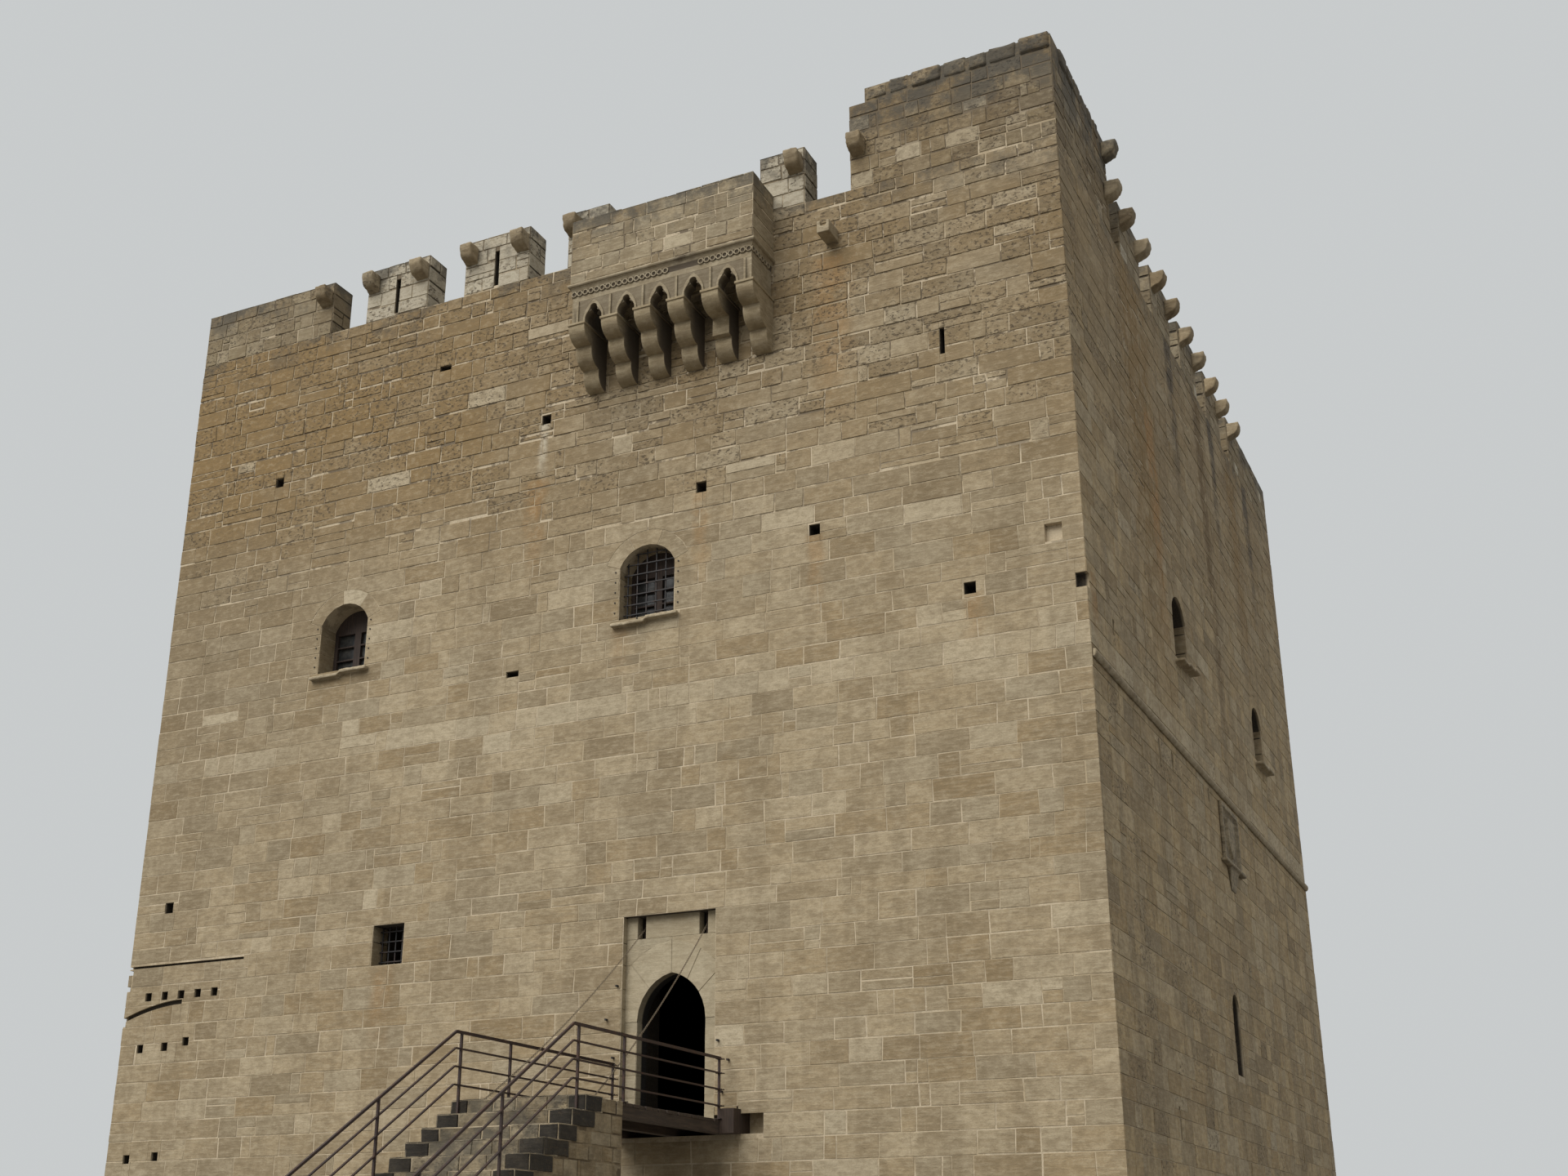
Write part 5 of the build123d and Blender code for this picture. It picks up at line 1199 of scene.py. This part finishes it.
dress("step_blocks", blocks, step_stone, "stair_stone", relief=0.018)
dress("step_ends", ends, end_stone, "stair_stone", relief=0.022, face_scale=0.97, cuts=2)
dress("stair_rubble", rubble, rubble_stone, "stair_stone", relief=0.022, face_scale=0.95)

# The bridge: cross boards on timber beams, shrunk and shifted a little. The posts
# of the iron rails stand on small plates, each held by four bolts.
DECK_LOW, DECK_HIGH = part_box("bridge_deck")
BOARD_GAP, BOARD_LENGTHS = 0.008, (0.17, 0.21)


def iron(name, colour, rust):
    """Painted or bare iron with rust that shows through."""
    paint = Paint(name, roughness=0.6, Metallic=0.25)
    mixed = paint.mix(paint.step(paint.noise(9.0, 8.0, 0.7), 0.45, 0.65, 0.5), colour, rust)
    return paint.finish(mixed, paint.noise(120.0), 0.001, 0.5)


deck_timber = timber("deck_timber", (0.030, 0.020, 0.014), (0.075, 0.052, 0.036), "x")
beam_timber = timber("beam_timber", (0.028, 0.019, 0.014), (0.070, 0.048, 0.034), "y")
rail_paint = iron("rail_paint", (0.040, 0.026, 0.024), (0.090, 0.040, 0.022))
finish(beam_timber, "bridge_beams")
finish(rail_paint, "bridge_handrails", "stair_handrails")
dice = random.Random(97)
boards = []
for a, b in split(dice, DECK_LOW.y, DECK_HIGH.y, BOARD_LENGTHS, BOARD_GAP):
    lift, shift = dice.uniform(-0.004, 0.003), dice.uniform(-0.02, 0.02)
    boards.append(((DECK_LOW.x + shift, a, DECK_LOW.z), (DECK_HIGH.x + shift, b, DECK_HIGH.z + lift)))
deck = piece("deck_boards", boxes_mesh("deck_boards", boards, bevel=0.005), "old_timber", deck_timber)
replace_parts(deck, "bridge_deck")

POST_FOOT, PLATE, PLATE_THICK, BOLT, BOLT_PLACE = 0.0006, 0.055, 0.008, 0.011, 0.7
feet = []
for node in ("bridge_handrails", "stair_handrails"):
    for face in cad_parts[node].data.polygons:
        if face.normal.z < -0.9 and face.area < POST_FOOT:
            if all((face.center - spot).length > PLATE for spot in feet):
                feet.append(face.center.copy())
plates = []
for x, y, z in feet:
    plates.append(((x - PLATE, y - PLATE, z), (x + PLATE, y + PLATE, z + PLATE_THICK)))
    for a in (-BOLT_PLACE, BOLT_PLACE):
        for b in (-BOLT_PLACE, BOLT_PLACE):
            u, v = x + a * PLATE, y + b * PLATE
            plates.append(((u - BOLT, v - BOLT, z + PLATE_THICK), (u + BOLT, v + BOLT, z + 2 * PLATE_THICK)))
piece("rail_feet", boxes_mesh("rail_feet", plates, bevel=0.002), "rail_iron", rail_paint)

# The grilles: wrought iron bars let into the stone, in front of the middle window
# and in the square window. The dowels and pins of older ones are broken off beside
# the windows and the door.
BAR = 0.022
bar_iron = iron("bar_iron", (0.018, 0.018, 0.020), (0.060, 0.032, 0.020))


def block(patch, u0, u1, v0, v1, out0, out1):
    """Two corners of a box that stands on a patch."""
    ends = point(patch, u0, v0, out0), point(patch, u1, v1, out1)
    return Vector(map(min, *ends)), Vector(map(max, *ends))


def grille(name, wall, ends, levels, back, across, up):
    bars = []
    for i in range(across):
        u = ends[0] + (i + 0.5) * (ends[1] - ends[0]) / across
        bars.append(block(wall, u - BAR / 2, u + BAR / 2, *levels, -back - BAR, -back))
    for i in range(up):
        v = levels[0] + (i + 0.5) * (levels[1] - levels[0]) / up
        bars.append(block(wall, *ends, v - BAR / 2, v + BAR / 2, -back, -back + 0.7 * BAR))
    return piece(name, boxes_mesh(name, bars, bevel=0.003), "rail_iron", bar_iron)


LET_IN, GRILLE_TOP = 0.02, 13.82
window_ends = (FRONT_WINDOWS[1] - WINDOW_HALF - LET_IN, FRONT_WINDOWS[1] + WINDOW_HALF + LET_IN)
window_levels = (SILL_LEVEL + LET_IN, GRILLE_TOP)
grille("middle_window_grille", front, window_ends, window_levels, back=0.16, across=6, up=7)
square_ends = (square_low.x - LET_IN, square_high.x + LET_IN)
square_levels = (square_low.z, square_high.z)
grille("square_window_grille", front, square_ends, square_levels, back=0.22, across=5, up=4)

DOWEL, DOWEL_OFFSET, DOWEL_PITCH, DOWEL_FIRST, DOWEL_REACH = 0.024, 0.09, 0.19, 0.12, 0.02
dowels = []
for centre in FRONT_WINDOWS:
    for u in (centre - WINDOW_HALF - DOWEL_OFFSET, centre + WINDOW_HALF + DOWEL_OFFSET - DOWEL):
        for i in range(5):
            v = SILL_LEVEL + DOWEL_FIRST + i * DOWEL_PITCH
            dowels.append(block(front, u, u + DOWEL, v, v + DOWEL, 0.0, DOWEL_REACH))
PINS = ((3.03, 5.25), (3.21, 4.95), (3.10, 4.48), (1.04, 5.68), (1.18, 5.08), (1.22, 6.20))
PIN, PIN_REACH = 0.03, 0.07
for u, v in PINS:
    dowels.append(block(front, u, u + PIN, v, v + PIN, 0.0, PIN_REACH))
piece("wall_dowels", boxes_mesh("wall_dowels", dowels, bevel=0.003), "rail_iron", bar_iron)

# The lifting chains: worn iron links, each turned a quarter against the next. The
# two chains hang from the slots over the door to the outer corners of the bridge.
CHAIN_LOW, CHAIN_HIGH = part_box("bridge_chains")
CHAIN_SAG, LINK, LINK_LAP = 0.16, 0.034, 0.80
EYE, EYE_HEIGHT, ARM_INSET, CHAIN_RISE = 0.022, 0.035, 0.055, 0.24
chain_iron = iron("chain_iron", (0.180, 0.145, 0.100), (0.140, 0.080, 0.040))
places = []
left = ARMS_LOW.x + ARM_INSET, CHAIN_LOW.x + EYE
right = ARMS_HIGH.x - ARM_INSET, CHAIN_HIGH.x - EYE
for arm_x, foot_x in (left, right):
    top = Vector((arm_x, ARMS_LOW.y, ARMS_LOW.z + CHAIN_RISE))
    foot = Vector((foot_x, CHAIN_LOW.y + EYE, DOOR_FLOOR + EYE_HEIGHT))
    bend = (top + foot) / 2 - Vector((0, 0, 2 * CHAIN_SAG))
    count = int((top - foot).length / (LINK * LINK_LAP))
    turns = [i / count for i in range(count + 1)]
    spots = [top * (1 - t) ** 2 + bend * 2 * t * (1 - t) + foot * t**2 for t in turns]
    for i, (spot, following) in enumerate(zip(spots, spots[1:])):
        run = (following - spot).normalized()
        across = run.cross(Vector((1, 0, 0))).normalized()
        places.append((spot, across if i % 2 else run.cross(across)))
LINK_LOOK = {"ring": 0.42 * LINK, "roll": 0.1 * LINK, "around": 12, "sides": 5}
chains = rings("lifting_chains", places, chain_iron, "chain_iron", **LINK_LOOK)
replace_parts(chains, "bridge_chains")

# The stage of the picture: a pale floor and background, a broad soft key light from
# high on the left, and a plain fill.
FLOOR_SIZE, FLOOR_SEEN, FLOOR_BOUNCE = 150, (0.42, 0.41, 0.39), (0.12, 0.11, 0.095)
FILL, FILL_LEVEL, BACKDROP = (1.0, 0.98, 0.93, 1.0), 0.56, (0.58, 0.60, 0.605, 1.0)
ground = boxes_mesh("floor", [((-FLOOR_SIZE, -FLOOR_SIZE, -0.1), (FLOOR_SIZE, FLOOR_SIZE, 0.0))])
shown("floor", ground)


def seen_directly(nodes):
    """1 for rays from the camera and for those it sees in gloss or through glass."""
    path = nodes.add("ShaderNodeLightPath")
    through = nodes.math("ADD", path["Is Glossy Ray"], path["Is Transmission Ray"])
    return nodes.math("ADD", path["Is Camera Ray"], through, clamp=True)


plain = Paint("floor_paint")
ground.materials.append(plain.finish(plain.mix(seen_directly(plain), FLOOR_BOUNCE, FLOOR_SEEN)))

world = bpy.data.worlds.new("studio")
bpy.context.scene.world = world
world.use_nodes = True
sky = Nodes(world.node_tree)
fill = sky.add("ShaderNodeBackground", FILL, FILL_LEVEL)[0]
backdrop = sky.add("ShaderNodeBackground", BACKDROP, 1.0)[0]
either = sky.add("ShaderNodeMixShader", seen_directly(sky), fill, backdrop)[0]
sky.put(either, sky.tree.nodes["World Output"].inputs["Surface"])

sun = bpy.data.lights.new("key", "SUN")
sun.energy, sun.angle, sun.color = 3.2, math.radians(50), (1.0, 0.97, 0.92)
key = shown("key", sun)
key.rotation_euler = Vector((0.35, 0.9, -1.1)).to_track_quat("-Z", "Y").to_euler()

PHOTO_WIDTH, SENSOR = 1920, 36.0
CAMERA = Vector((15.533, -33.549, 1.742))
YAW, PITCH, FOCAL_PX, SHIFT_PX = math.radians(-25.635), math.radians(20.117), 2144.2, (20.5, 68.2)
camera = bpy.data.cameras.new("camera")
camera.sensor_width, camera.lens = SENSOR, SENSOR * FOCAL_PX / PHOTO_WIDTH
camera.shift_x, camera.shift_y = SHIFT_PX[0] / PHOTO_WIDTH, SHIFT_PX[1] / PHOTO_WIDTH
camera.clip_end = 500
eye = shown("camera", camera)
look = Vector((math.sin(YAW) * math.cos(PITCH), math.cos(YAW) * math.cos(PITCH), math.sin(PITCH)))
eye.location = CAMERA
eye.rotation_euler = look.to_track_quat("-Z", "Y").to_euler()
bpy.context.scene.camera = eye
bpy.context.scene.view_settings.view_transform = "Standard"
